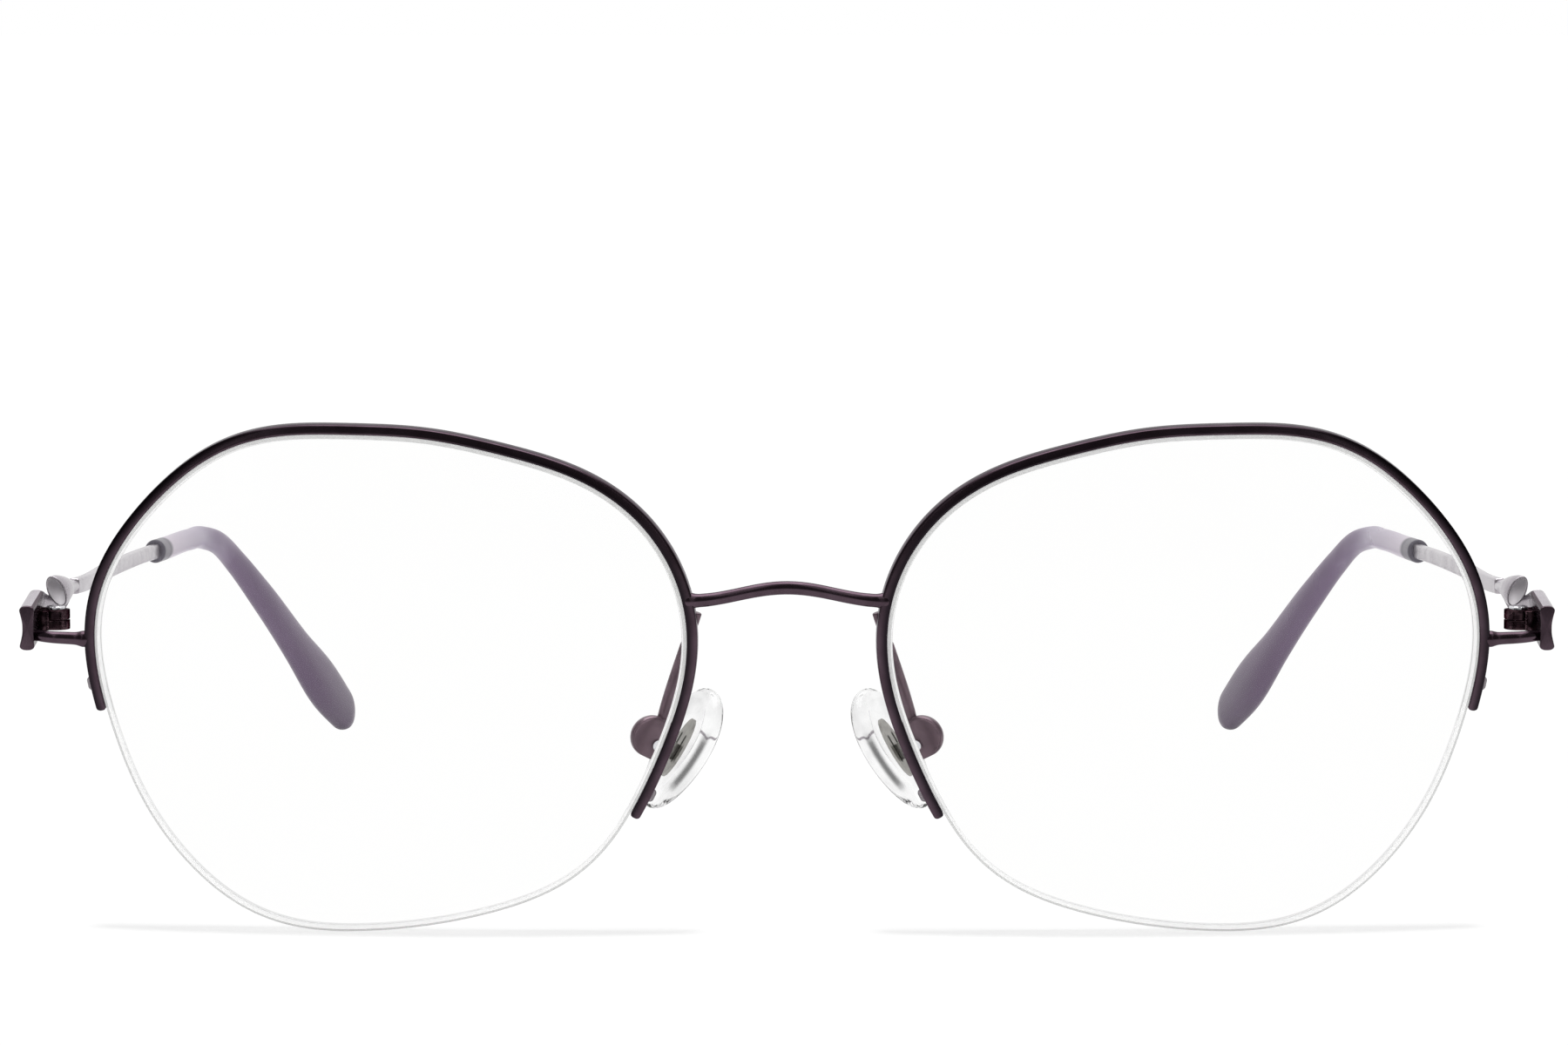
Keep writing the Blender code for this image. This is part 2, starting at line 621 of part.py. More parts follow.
def make_hinge(label, side, finish, screw_finish, root, pivot_empty, pivot):
    """Front leaf with the lower knuckle, temple leaf with the upper one, and the screw."""
    x, y, _ = END["pivot"]
    upright = np.array((0.0, 0.0, 1.0))
    seat = END["inner"] - LEAF_FIT
    low_top, high_base = HINGE_SPLIT - HINGE_SLIT / 2, HINGE_SPLIT + HINGE_SLIT / 2
    sweep = KNUCKLE_RADIUS + KNUCKLE_CLEARANCE
    bore = cylinder(np.array((x, y, HINGE_LOW - OVERRUN)), upright, HINGE_HEIGHT + 2 * OVERRUN,
                    HINGE_SHANK_RADIUS + RUN_FIT)

    body = block((x + LEAF_SIDE, y - LEAF_FAR, HINGE_LOW), (seat, y - LEAF_NEAR, HINGE_HIGH))
    front = place(f"{label}_front_hinge_leaf", body, side, finish, root)
    swept = cylinder(np.array((x, y, low_top)), upright, HINGE_HEIGHT, sweep, 2 * ROUND_SIDES)
    combine(front, [swept], "DIFFERENCE", side)
    combine(front, [prism(knuckle_outline(HINGE_LOW, -1, seat - x), upright, low_top - HINGE_LOW)], "UNION", side)
    combine(front, [bore.copy()], "DIFFERENCE", side)

    body = block((x + LEAF_SIDE, y + LEAF_NEAR, HINGE_LOW), (seat, y + LEAF_FAR, HINGE_HIGH))
    rear = place(f"{label}_temple_hinge_leaf", body, side, finish, pivot_empty, pivot)
    swept = cylinder(np.array((x, y, high_base - HINGE_HEIGHT)), upright, HINGE_HEIGHT, sweep, 2 * ROUND_SIDES)
    combine(rear, [swept], "DIFFERENCE", side, pivot)
    knuckle = prism(knuckle_outline(high_base, 1, seat - x), upright, HINGE_HIGH - high_base)
    combine(rear, [knuckle], "UNION", side, pivot)
    combine(rear, [bore], "DIFFERENCE", side, pivot)

    shank, head = HINGE_SHANK_RADIUS, HINGE_HEAD_RADIUS
    under_head = HINGE_HIGH + RUN_FIT
    top = under_head + HINGE_HEAD_HEIGHT
    edge = HINGE_HEAD_HEIGHT / 3
    shape = ((HINGE_LOW, shank - RUN_FIT), (HINGE_LOW + RUN_FIT, shank), (under_head, shank), (under_head, head),
             (top - edge, head), (top, head - edge))
    make_screw(f"{label}_hinge_screw", shape, np.array((x, y, 0.0)), upright, side, screw_finish, root)


def make_screw(name, shape, foot, axis, side, finish, root):
    """Turned screw with a slotted head; shape gives height along the axis and radius."""
    across = unit(np.cross(axis, np.array((1.0, 0.0, 0.0))))
    above = np.cross(axis, across)
    rings = [ring_about(foot + axis * run, across, above, radius, radius, ROUND_SIDES) for run, radius in shape]
    screw = place(name, loft(rings), side, finish, root)
    half_wide, half_long = SLOT_WIDTH / 2, max(radius for _, radius in shape) + OVERRUN
    corners = ((-half_long, -half_wide), (half_long, -half_wide), (half_long, half_wide), (-half_long, half_wide))
    floor = [foot + axis * (shape[-1][0] - SLOT_DEPTH) + across * a + above * b for a, b in corners]
    combine(screw, [prism(floor, axis, OVERRUN)], "DIFFERENCE", side)


def temple_point(share, settle):
    """Point of the temple line at a share of its reach, its tail raised by a settling height."""
    inset, height = smooth_rows(TEMPLE_LINE_SHARES, share)
    ramp = min(max((share - TIP_SETTLE_SHARE) / (1 - TIP_SETTLE_SHARE), 0.0), 1.0)
    return np.array((
        END["middle"] - TEMPLE_INSET * inset,
        TEMPLE_FACE + TEMPLE_REACH * share,
        TEMPLE_HEIGHT * height + settle * ramp ** 2 * (3 - 2 * ramp),
    ))


def temple_ring(share, width, height, tilt=0.0, settle=None):
    """Section of the temple, square to its line, its top tilted outward."""
    settle = SETTLE if settle is None else settle
    step = LINE_STEP_SHARE
    ahead = unit(temple_point(min(share + step, 1.0), settle) - temple_point(max(share - step, 0.0), settle))
    sideways = unit(np.array((1.0, 0.0, 0.0)) - ahead[0] * ahead)
    above = np.cross(sideways, ahead)
    across = math.cos(tilt) * sideways - math.sin(tilt) * above
    along = math.cos(tilt) * above + math.sin(tilt) * sideways
    return ring_about(temple_point(share, settle), across, along, width / 2, height / 2, TEMPLE_SIDES)


def tip_size(share):
    """Width and height of the tip at a share of the temple's reach."""
    swell = float(smooth_rows(TIP_SWELL_SHARES, share)[0])
    return (TIP_MOUTH_WIDTH + (TIP_PADDLE_WIDTH - TIP_MOUTH_WIDTH) * swell,
            TIP_MOUTH_HEIGHT + (TIP_PADDLE_HEIGHT - TIP_MOUTH_HEIGHT) * swell)


def tip_outer_rows():
    """Share, width and height of each outer ring of the tip, from its round end to its mouth."""
    tail = (1 - TEMPLE_LINE_SHARES[-2][0]) * TEMPLE_REACH
    fall = (TEMPLE_LINE_SHARES[-2][2] - TEMPLE_LINE_SHARES[-1][2]) * TEMPLE_HEIGHT
    round_share = TIP_ROUND / math.hypot(tail, fall) * tail / TEMPLE_REACH
    rows = []
    for left in TIP_ROUND_SHARES:
        width, height = tip_size(1 - left * round_share)
        blunt = math.sqrt(1 - (1 - left) ** 2)
        rows.append((1 - left * round_share, width * blunt, height * blunt))
    body = np.linspace(1 - round_share, TIP_MOUTH_SHARE, TIP_RINGS)
    return rows + [(share, *tip_size(share)) for share in body]


def tip_settle():
    """Rise of the temple's tail that brings the tip's lowest point to the ground."""
    settle = 0.0
    for _ in range(2 * len(TIP_ROUND_SHARES)):
        rings = [temple_ring(*row, settle=settle) for row in tip_outer_rows()]
        settle -= min(point[2] for ring in rings for point in ring)
    return settle


SETTLE = tip_settle()


def horn_ring(along, narrow, low):
    """Section of the horn at a share of its length, drawn in by a wall and by a share."""
    tall, wide, tilt = smooth_rows(HORN_SHARES, along)
    width, height = (HORN_WIDTH * wide - low) * narrow, (HORN_HEIGHT * tall - low) * narrow
    return temple_ring((HORN_START + along * HORN_LENGTH) / TEMPLE_REACH, width, height, HORN_TILT * tilt)


def bore_shares():
    """Stations of the tip's bore, shared by the core that lies in it."""
    return np.linspace(TIP_MOUTH_SHARE, TIP_BORE_END_SHARE, CORE_STATIONS + 1)


def make_temple(label, side, finish, pivot_empty, pivot):
    """Rod with a cupped horn at its front, and the web to the plate at the hinge."""
    wall = 2 * HORN_LIP
    cup = HORN_CUP_DEPTH / HORN_LENGTH
    rings = [horn_ring(cup * deep, narrow, wall) for deep, narrow in HORN_CUP_SHARES]
    rings += [horn_ring(row[0], 1.0, 0.0) for row in HORN_SHARES]
    step = NECK_STEP / TEMPLE_REACH
    shaft_start = (HORN_START + HORN_LENGTH) / TEMPLE_REACH + step
    shaft = np.linspace(shaft_start, TIP_MOUTH_SHARE - step, len(HORN_SHARES))
    rings += [temple_ring(share, SHAFT_WIDTH, SHAFT_HEIGHT) for share in shaft]
    rings += [temple_ring(share, CORE_WIDTH, CORE_HEIGHT) for share in bore_shares()[:-1]]
    temple = place(f"{label}_temple", loft(rings), side, finish, pivot_empty, pivot)

    low, high = END["low"] + PLATE_CLIMB_FOOT, END["high"] + PLATE_CLIMB_TOP
    web = []
    for along, inset, foot, top in WEB_SHARES:
        web.append(bone_ring(
            END["middle"] - WEB_INSET * inset, TEMPLE_FACE + WEB_LENGTH * along, low + WEB_FOOT_RISE * foot,
            high - WEB_TOP_DROP * top, WEB_THINNING / 2 * inset, PLATE_LEAN * (1 - inset)))
    combine(temple, [loft(web)], "UNION", side, pivot)


def make_tip(label, side, finish, pivot_empty, pivot):
    """Plastic sleeve with a blind bore for the rod's core."""
    rings = [temple_ring(*row) for row in tip_outer_rows()]
    fit = 2 * TIP_BORE_FIT
    rings += [temple_ring(share, CORE_WIDTH + fit, CORE_HEIGHT + fit) for share in bore_shares()]
    place(f"{label}_temple_tip", loft(rings), side, finish, pivot_empty, pivot)


PAD_LONG = np.array((-math.sin(PAD_ANGLE), 0.0, math.cos(PAD_ANGLE)))
PAD_FLAT = np.array((math.cos(PAD_ANGLE), 0.0, math.sin(PAD_ANGLE)))
PAD_WIDE = np.array((0.0, math.cos(PAD_SPLAY), 0.0)) + math.sin(PAD_SPLAY) * PAD_FLAT
PAD_OUT = np.array((0.0, -math.sin(PAD_SPLAY), 0.0)) + math.cos(PAD_SPLAY) * PAD_FLAT
RIM_REAR = (LENS_THICKNESS + RIM_DEPTH) / 2
PAD_SCREW = np.array((
    PAD_SPREAD / 2,
    edge_point(PAD_SEAT_ANGLE, LENS_FIT, RIM_REAR)[1] + PAD_SETBACK,
    CENTRE[2] - PAD_DROP,
))
PAD_CENTRE = PAD_SCREW - LUG_REACH * PAD_OUT + PAD_RISE * PAD_LONG
HALF_BOX = LUG_THICKNESS / 2 + BOX_FIT + BOX_CHEEK


def pad_point(out, up, back=0.0):
    """Point near the pad screw: out from the nose, up along the pad, back across it."""
    return PAD_SCREW + out * PAD_OUT + up * PAD_LONG + back * PAD_WIDE


def oval_ring(half_long, half_wide, taper, level):
    """Oval about the pad's centre, fuller above by a taper, at a level towards the arm."""
    ring = []
    for i in range(PAD_STATIONS):
        turn = 2 * math.pi * (i + 0.5) / PAD_STATIONS
        long = half_long * math.cos(turn)
        wide = half_wide * math.sin(turn) * (1 + taper * math.cos(turn))
        ring.append(PAD_CENTRE + long * PAD_LONG + wide * PAD_WIDE + level * PAD_OUT)
    return ring


def half_disc(radius, centre, rise, mouth, back):
    """Half disc that is round away from the nose and runs straight on to its mouth."""
    turns = np.linspace(-math.pi / 2, math.pi / 2, ROUND_SIDES - 2)
    corners = [(-mouth, rise - radius)]
    corners += [(centre + radius * math.cos(a), rise + radius * math.sin(a)) for a in turns]
    corners += [(-mouth, rise + radius)]
    return [pad_point(out, up, back) for out, up in corners]


def make_pad(label, side, finish, pivot_empty, pivot):
    """Soft pad, domed towards the nose, with a pocket for its insert."""
    face = PAD_THICKNESS / 2
    pocket = [oval_ring(INSERT_HALF_LENGTH, INSERT_HALF_WIDTH, 0.0, level)
              for level in (face - INSERT_POCKET, face)]
    dome = [oval_ring(PAD_HALF_LENGTH * share, PAD_HALF_WIDTH * share, PAD_TAPER_SHARE, PAD_THICKNESS * level)
            for share, level in PAD_DOME_SHARES]
    place(f"{label}_nose_pad", loft(pocket + dome), side, finish, pivot_empty, pivot)


def make_pad_core(label, side, finish, pivot_empty, pivot):
    """Oval insert plate with the drilled lug that hangs on the screw."""
    floor = PAD_THICKNESS / 2 - INSERT_POCKET + INSERT_FIT
    plate = [oval_ring(INSERT_HALF_LENGTH - INSERT_FIT, INSERT_HALF_WIDTH - INSERT_FIT, 0.0, level)
             for level in (floor, floor + INSERT_PLATE)]
    core = place(f"{label}_pad_core", loft(plate), side, finish, pivot_empty, pivot)
    root = LUG_REACH - floor - INSERT_PLATE / 2
    lug = prism(half_disc(LUG_RADIUS, 0.0, 0.0, root, -LUG_THICKNESS / 2), PAD_WIDE, LUG_THICKNESS)
    combine(core, [lug], "UNION", side, pivot)
    drill = cylinder(pad_point(0.0, 0.0, -OVERRUN), PAD_WIDE, 2 * OVERRUN, PAD_SHANK_RADIUS + RUN_FIT)
    combine(core, [drill], "DIFFERENCE", side, pivot)


def make_pad_arm(label, side, finish, root):
    """Flat strap from the back of the rim down to the round box that holds the pad's lug."""
    box = [half_disc(BOX_RADIUS * share, BOX_OFFSET, BOX_RISE, BOX_MOUTH, HALF_BOX * back)
           for back, share in BOX_ROUND_SHARES]
    arm = place(f"{label}_pad_arm", loft(box), side, finish, root)

    behind = RIM_REAR + SOLDER_GAP + STRAP_THICKNESS / 2
    leave = edge_point(STRAP_ANGLE, LENS_FIT + RIM_WIDTH / 2 + STRAP_INWARD, behind)
    enter = pad_point(BOX_OFFSET - BOX_CHEEK, BOX_RISE + BOX_RADIUS - BOX_CHEEK)
    fall = unit(enter - leave)
    first = leave + STRAP_STANDOFF * unit(fall - (fall @ BACK) * BACK)
    last = enter - STRAP_LEAD * unit(fall - (fall @ PAD_WIDE) * PAD_WIDE)
    rings = []
    for i in range(STRAP_STATIONS + 1):
        t = i / STRAP_STATIONS
        point = (1 - t) ** 3 * leave + 3 * t * (1 - t) ** 2 * first + 3 * t ** 2 * (1 - t) * last + t ** 3 * enter
        ahead = unit((1 - t) ** 2 * (first - leave) + 2 * t * (1 - t) * (last - first) + t ** 2 * (enter - last))
        through = (1 - t) * BACK + t * PAD_WIDE
        across = unit(np.cross(ahead, through))
        rings.append(ring_about(point, across, np.cross(across, ahead), STRAP_WIDTH / 2, STRAP_THICKNESS / 2,
                                STRAP_SIDES))
    combine(arm, [loft(rings)], "UNION", side)

    half_gap = LUG_THICKNESS / 2 + BOX_FIT
    mouth, tall = -BOX_MOUTH - OVERRUN, BOX_SLOT_HALF_HEIGHT
    slot = [pad_point(out, up, -half_gap)
            for out, up in ((mouth, -tall), (BOX_SLOT_REACH, -tall), (BOX_SLOT_REACH, tall), (mouth, tall))]
    drill = cylinder(pad_point(0.0, 0.0, -HALF_BOX - OVERRUN), PAD_WIDE, 2 * (HALF_BOX + OVERRUN),
                     PAD_SHANK_RADIUS + RUN_FIT)
    combine(arm, [prism(slot, PAD_WIDE, 2 * half_gap), drill], "DIFFERENCE", side)


def make_pad_screw(label, side, finish, root):
    """Small screw through the box, its head towards the front."""
    under_head = HALF_BOX + RUN_FIT
    top = under_head + PAD_HEAD_HEIGHT
    edge = PAD_HEAD_HEIGHT / 3
    shape = ((-HALF_BOX, PAD_SHANK_RADIUS), (under_head, PAD_SHANK_RADIUS), (under_head, PAD_HEAD_RADIUS),
             (top - edge, PAD_HEAD_RADIUS), (top, PAD_HEAD_RADIUS - edge))
    make_screw(f"{label}_pad_screw", shape, PAD_SCREW, -PAD_WIDE, side, finish, root)


def centre_footprint(root):
    """Move the whole part so that its footprint is centred on the origin."""
    bpy.context.view_layer.update()
    ends = [(item.matrix_world @ Vector(corner)).y for item in bpy.data.objects
            if item.type == "MESH" and not item.hide_render for corner in item.bound_box]
    root.location.y = -(min(ends) + max(ends)) / 2


def build():
    clear_scene()
    frame_metal = material("plum_enamel", (0.085, 0.045, 0.075), 0.32, 0.75)
    hinge_metal = material("dark_hinge", (0.055, 0.035, 0.045), 0.38, 0.85)
    bright_metal = material("bright_steel", (0.72, 0.72, 0.74), 0.25, 1.0)
    insert_metal = material("insert_steel", (0.45, 0.45, 0.47), 0.35, 0.9)
    clear_lens = material("clear_lens", (0.96, 0.98, 0.97), 0.02, transmission=1.0)
    nylon = material("clear_nylon", (0.90, 0.91, 0.90), 0.20, transmission=0.8)
    silicone = material("clear_silicone", (0.93, 0.93, 0.92), 0.15, transmission=0.85)
    tip_plastic = material("violet_tip", (0.16, 0.10, 0.20), 0.28, transmission=0.25)

    root = empty("spectacles", (0.0, 0.0, 0.0))
    make_bridge(frame_metal, root)
    for label, side in SIDES.items():
        make_lens(label, side, clear_lens, root)
        make_rim(label, side, frame_metal, root)
        make_liner(label, side, nylon, root)
        make_cord(label, side, nylon, root)
        make_endpiece(label, side, frame_metal, root)
        make_pad_arm(label, side, frame_metal, root)
        make_pad_screw(label, side, bright_metal, root)

        hinge_at = (END["pivot"][0], END["pivot"][1], HINGE_SPLIT)
        temple_pivot = empty(f"{label}_temple_pivot", Matrix.Diagonal((side, 1, 1)) @ Vector(hinge_at), root)
        make_hinge(label, side, hinge_metal, bright_metal, root, temple_pivot, hinge_at)
        make_temple(label, side, frame_metal, temple_pivot, hinge_at)
        make_tip(label, side, tip_plastic, temple_pivot, hinge_at)

        pad_at = tuple(PAD_SCREW)
        pad_pivot = empty(f"{label}_pad_pivot", Matrix.Diagonal((side, 1, 1)) @ Vector(pad_at), root)
        make_pad(label, side, silicone, pad_pivot, pad_at)
        make_pad_core(label, side, insert_metal, pad_pivot, pad_at)
    centre_footprint(root)


build()
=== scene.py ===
import json
import math

import bpy
import numpy as np
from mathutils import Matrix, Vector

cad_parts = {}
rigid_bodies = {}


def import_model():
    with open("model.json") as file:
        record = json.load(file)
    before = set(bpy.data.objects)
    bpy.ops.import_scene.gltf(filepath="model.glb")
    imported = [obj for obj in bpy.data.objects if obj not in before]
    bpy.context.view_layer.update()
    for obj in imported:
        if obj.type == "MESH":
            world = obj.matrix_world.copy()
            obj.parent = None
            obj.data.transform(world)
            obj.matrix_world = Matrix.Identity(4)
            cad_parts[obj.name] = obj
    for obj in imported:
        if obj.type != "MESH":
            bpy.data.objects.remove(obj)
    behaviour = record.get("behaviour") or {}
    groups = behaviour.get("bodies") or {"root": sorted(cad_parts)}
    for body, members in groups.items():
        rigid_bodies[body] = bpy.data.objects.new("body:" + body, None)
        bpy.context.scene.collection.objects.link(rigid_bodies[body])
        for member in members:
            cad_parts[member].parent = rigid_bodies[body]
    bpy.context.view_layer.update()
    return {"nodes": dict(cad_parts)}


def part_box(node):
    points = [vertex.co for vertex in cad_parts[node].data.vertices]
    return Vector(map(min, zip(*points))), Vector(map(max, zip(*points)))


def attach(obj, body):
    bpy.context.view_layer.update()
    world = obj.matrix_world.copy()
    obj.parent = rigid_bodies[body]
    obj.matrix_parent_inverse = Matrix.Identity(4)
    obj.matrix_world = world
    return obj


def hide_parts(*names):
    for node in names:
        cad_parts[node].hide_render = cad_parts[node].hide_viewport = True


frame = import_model()


# The lenses. Clear plano lenses, cut to the frame's outline, with polished faces, a fine bevel
# and a groove all round the edge that takes the rim's liner above and the nylon cord below.
MM = 0.001
SIDES = (("left", 1), ("right", -1))
LENS_HALF_WIDTH = 27.2 * MM
LENS_RADIUS_SHARES = (
    1.001, 1.036, 1.020, 0.994, 0.955, 0.890, 0.857, 0.861, 0.897, 0.967, 1.017, 1.022,
    0.980, 0.932, 0.918, 0.911, 0.877, 0.851, 0.857, 0.899, 0.945, 0.956, 0.957, 0.966,
)
LENS_THICKNESS = 2.0 * MM
LENS_CURVE = 125.0 * MM
GROOVE_DEPTH = 0.50 * MM
RIM_TEMPLE_END = math.radians(-6.2)
RIM_NOSE_END = math.radians(209.4)
BARED_FADE = math.radians(3.0)
FRONT_TILT = math.radians(6.0)
FRONT_WRAP = math.radians(3.0)
UP = np.array((0.0, -math.sin(FRONT_TILT), math.cos(FRONT_TILT)))
BACK = np.array((
    -math.sin(FRONT_WRAP),
    math.cos(FRONT_WRAP) * math.cos(FRONT_TILT),
    math.cos(FRONT_WRAP) * math.sin(FRONT_TILT),
))
OUT = np.cross(BACK, UP)
CAD_STATIONS = 56
CAD_SHARES = (0.0, 0.4, 0.75, 1.0)
LENS_STATIONS = 320
FACE_RINGS = 27
FACE_SHARE = 0.988
END_STEPS = 5
# The front half of the edge, how far out and how far back in millimetres, and the finish of each strip.
HALF_EDGE = (
    (-0.26, 0.0), (-0.15, 0.04), (-0.06, 0.11), (0.0, 0.20), (0.0, 0.40), (0.0, 0.685), (-0.015, 0.70),
    (-0.25, 0.73), (-0.48, 0.77), (-0.50, 0.80), (-0.50, 1.0),
)
POLISHED, GROUND, BEVEL, GROOVE = range(4)
HALF_STRIPS = (BEVEL,) * 3 + (GROUND,) * 5 + (GROOVE,) * 2


def unit(vectors):
    """The vectors at length one."""
    return vectors / np.linalg.norm(vectors, axis=-1, keepdims=True)


def outline(theta):
    """Points of the lens outline in its plane, and the outward normals. The radius is the sum of waves
    that passes through every radius share, and a normal is the tangent turned a quarter."""
    shares = np.array(LENS_RADIUS_SHARES)
    waves = np.fft.rfft(shares) / len(shares)
    order = np.arange(1, len(waves) - 1)
    turned = waves[order] * np.exp(1j * order * theta[:, None])
    radius = LENS_HALF_WIDTH * (waves[0].real + 2 * turned.real.sum(1))[:, None]
    change = LENS_HALF_WIDTH * 2 * (1j * order * turned).real.sum(1)[:, None]
    ray = np.stack((np.cos(theta), np.sin(theta)), 1)
    across = np.stack((-ray[:, 1], ray[:, 0]), 1)
    tangent = unit(change * ray + radius * across)
    return radius * ray, np.stack((tangent[:, 1], -tangent[:, 0]), 1)


def sag(flat):
    """How far a sphere of the lens curve has fallen back at points of the lens plane."""
    return LENS_CURVE - np.sqrt(LENS_CURVE ** 2 - (flat ** 2).sum(-1))


def on_lens(moved, fall):
    """Points of the lens plane, set back by a fall, in the room."""
    return CENTRE + moved[:, :1] * OUT + moved[:, 1:] * UP + fall[:, None] * BACK


def edge(theta, offset, depth):
    """The outline's points at theta moved outward by offset and back by depth, all three numbers or grids."""
    theta, offset, depth = np.broadcast_arrays(theta, offset, depth)
    flat, normal = outline(theta.ravel())
    points = on_lens(flat + offset.reshape(-1, 1) * normal, sag(flat) + depth.ravel())
    return points.reshape(*theta.shape, 3)


def face(theta, share, depth):
    """Points of a lens face: the outline shrunk by share, fallen back as the sphere does."""
    theta, share, depth = np.broadcast_arrays(theta, share, depth)
    flat = outline(theta.ravel())[0] * share.reshape(-1, 1)
    return on_lens(flat, sag(flat) + depth.ravel()).reshape(*theta.shape, 3)


def walk(theta, distance):
    """The angle reached by walking a distance along the outline from theta."""
    return theta + distance / np.linalg.norm(outline(np.atleast_1d(theta))[0])


# The frame says where the lens is: its lowest corner is that of the shell of lens points.
CENTRE = np.zeros(3)
stations = np.arange(CAD_STATIONS) * 2 * math.pi / CAD_STATIONS
shell = face(stations[:, None, None], np.array(CAD_SHARES), np.array((0.0, LENS_THICKNESS))[:, None])
CENTRE = np.array(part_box("left_lens")[0]) - shell.reshape(-1, 3).min(0)


class Wire:
    """A socket in a finish. Sums, differences and products of wires add the nodes that work them out."""

    def __init__(self, tree, socket):
        self.tree, self.socket = tree, socket

    def node(self, kind, inputs, output=0, **settings):
        """Add a node of a kind: its settings are set first, then its sockets get values or wires."""
        made = self.tree.nodes.new("ShaderNode" + kind)
        for key, value in settings.items():
            setattr(made, key, value)
        for key, value in inputs.items():
            if isinstance(value, Wire):
                self.tree.links.new(value.socket, made.inputs[key])
            else:
                made.inputs[key].default_value = value
        return Wire(self.tree, made.outputs[output])

    def sum_of(self, operation, first, second):
        return self.node("Math", {0: first, 1: second}, operation=operation)

    def __add__(self, other):
        return self.sum_of("ADD", self, other)

    def __sub__(self, other):
        return self.sum_of("SUBTRACT", self, other)

    def __rsub__(self, other):
        return self.sum_of("SUBTRACT", other, self)

    def __mul__(self, other):
        return self.sum_of("MULTIPLY", self, other)

    def noise(self, scale, detail=3.0, rough=0.5):
        """Cloudy pattern whose patches are about one over scale across."""
        return self.node(
            "TexNoise", {"Vector": self, "Scale": scale, "Detail": detail, "Roughness": rough})

    def spread(self, low, high, to_low=0.0, to_high=1.0):
        """Values from low to high, stretched over another span and held at its ends."""
        span = {"From Min": low, "From Max": high, "To Min": to_low, "To Max": to_high}
        return self.node("MapRange", {"Value": self, **span}, interpolation_type="SMOOTHSTEP")

    def tint(self, first, second):
        """Colour between two colours, by this wire."""
        return self.node("Mix", {0: self, 6: first, 7: second}, 2, data_type="RGBA")

    def bump(self, strength, height):
        """Normal of a surface raised by this wire times a height."""
        return self.node("Bump", {"Strength": strength, "Distance": height, "Height": self})

    def mark(self, name):
        """A number kept at each point of the piece, nothing where the piece has none."""
        return self.node("Attribute", {}, "Fac", attribute_name=name)

    def stretched(self, scale):
        """These coordinates multiplied along each axis."""
        return self.node("Mapping", {"Vector": self, "Scale": scale})

    def axis(self, name):
        """One of these coordinates, X, Y or Z."""
        return self.node("SeparateXYZ", {"Vector": self}, name)


def grey(level):
    """A grey for a colour socket."""
    return level, level, level, 1.0


def finish(name, fixed, pattern):
    """A finish on a Principled shader. fixed are its plain settings; pattern takes the piece's
    coordinates and gives the wires for what changes over the surface."""
    made = bpy.data.materials.new(name)
    made.use_nodes = True
    shader = made.node_tree.nodes["Principled BSDF"]
    for key, value in fixed.items():
        shader.inputs[key].default_value = value
    place = Wire(made.node_tree, None).node("TexCoord", {}, "Object")
    for key, wire in pattern(place).items():
        made.node_tree.links.new(wire.socket, shader.inputs[key])
    return made


def rounded_end(ring, outward, radius):
    """Rings that turn a flat end over: a quarter circle of a radius from the side to the end face."""
    middle = ring.mean(0)
    size = np.linalg.norm(ring - middle, axis=1).mean()
    turn = np.linspace(0.0, math.pi / 2, END_STEPS)[:, None, None]
    drawn_in = 1 - radius / size * (1 - np.cos(turn))
    return middle + (ring - middle) * drawn_in + outward * radius * (np.sin(turn) - 1)


def joined(*parts):
    """The parts, one after the other."""
    return np.concatenate(parts)


def with_ends(rings, radius):
    """The rings with both ends turned over by a radius."""
    first = unit(rings[0].mean(0) - rings[1].mean(0))
    last = unit(rings[-1].mean(0) - rings[-2].mean(0))
    return joined(
        rounded_end(rings[0], first, radius)[::-1], rings[1:-1], rounded_end(rings[-1], last, radius))


def put(name, data):
    """A new object with its data, linked into the scene."""
    made = bpy.data.objects.new(name, data)
    bpy.context.collection.objects.link(made)
    return made


def build(name, rings, side, paint, body, node=None, marks=None, bands=None):
    """Closed skin over a grid of rings, both ends drawn to a pole and the faces turned outwards. side
    mirrors the left's shape for the right. marks are numbers kept at each point for the finish, and
    bands say which paint each strip takes."""
    rings = np.asarray(rings) * (side, 1, 1)
    count, around = rings.shape[:2]
    grid = np.arange(count * around).reshape(count, around)
    ahead = np.roll(grid, -1, 1)
    quads = np.stack((grid[:-1], ahead[:-1], ahead[1:], grid[1:]), 2).reshape(-1, 4)
    pole = np.full(around, count * around)
    first_fan = np.stack((ahead[0], grid[0], pole), 1)
    fans = joined(first_fan, np.stack((grid[-1], ahead[-1], pole + 1), 1))
    points = joined(rings.reshape(-1, 3), rings[[0, -1]].mean(1))
    halves = joined(quads[:, :3], quads[:, (0, 2, 3)], fans)
    a, b, c = (points[halves[:, k]] - points.mean(0) for k in range(3))
    if (a * np.cross(b, c)).sum() < 0:
        quads, fans = quads[:, ::-1], fans[:, ::-1]
    mesh = bpy.data.meshes.new(name)
    mesh.from_pydata(points.tolist(), [], quads.tolist() + fans.tolist())
    mesh.shade_smooth()
    for coat in paint if isinstance(paint, tuple) else (paint,):
        mesh.materials.append(coat)
    if bands is not None:
        strips = joined(np.repeat(bands, around), np.zeros(2 * around))
        mesh.polygons.foreach_set("material_index", strips.astype(np.int32))
    for mark, values in (marks or {}).items():
        values = np.broadcast_to(values, (count, around))
        both = joined(values.ravel(), values[[0, -1]].mean(1)).astype(np.float32)
        mesh.attributes.new(mark, "FLOAT", "POINT").data.foreach_set("value", both)
    made = put(name, mesh)
    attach(made, body)
    if node:
        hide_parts(node)
    return made


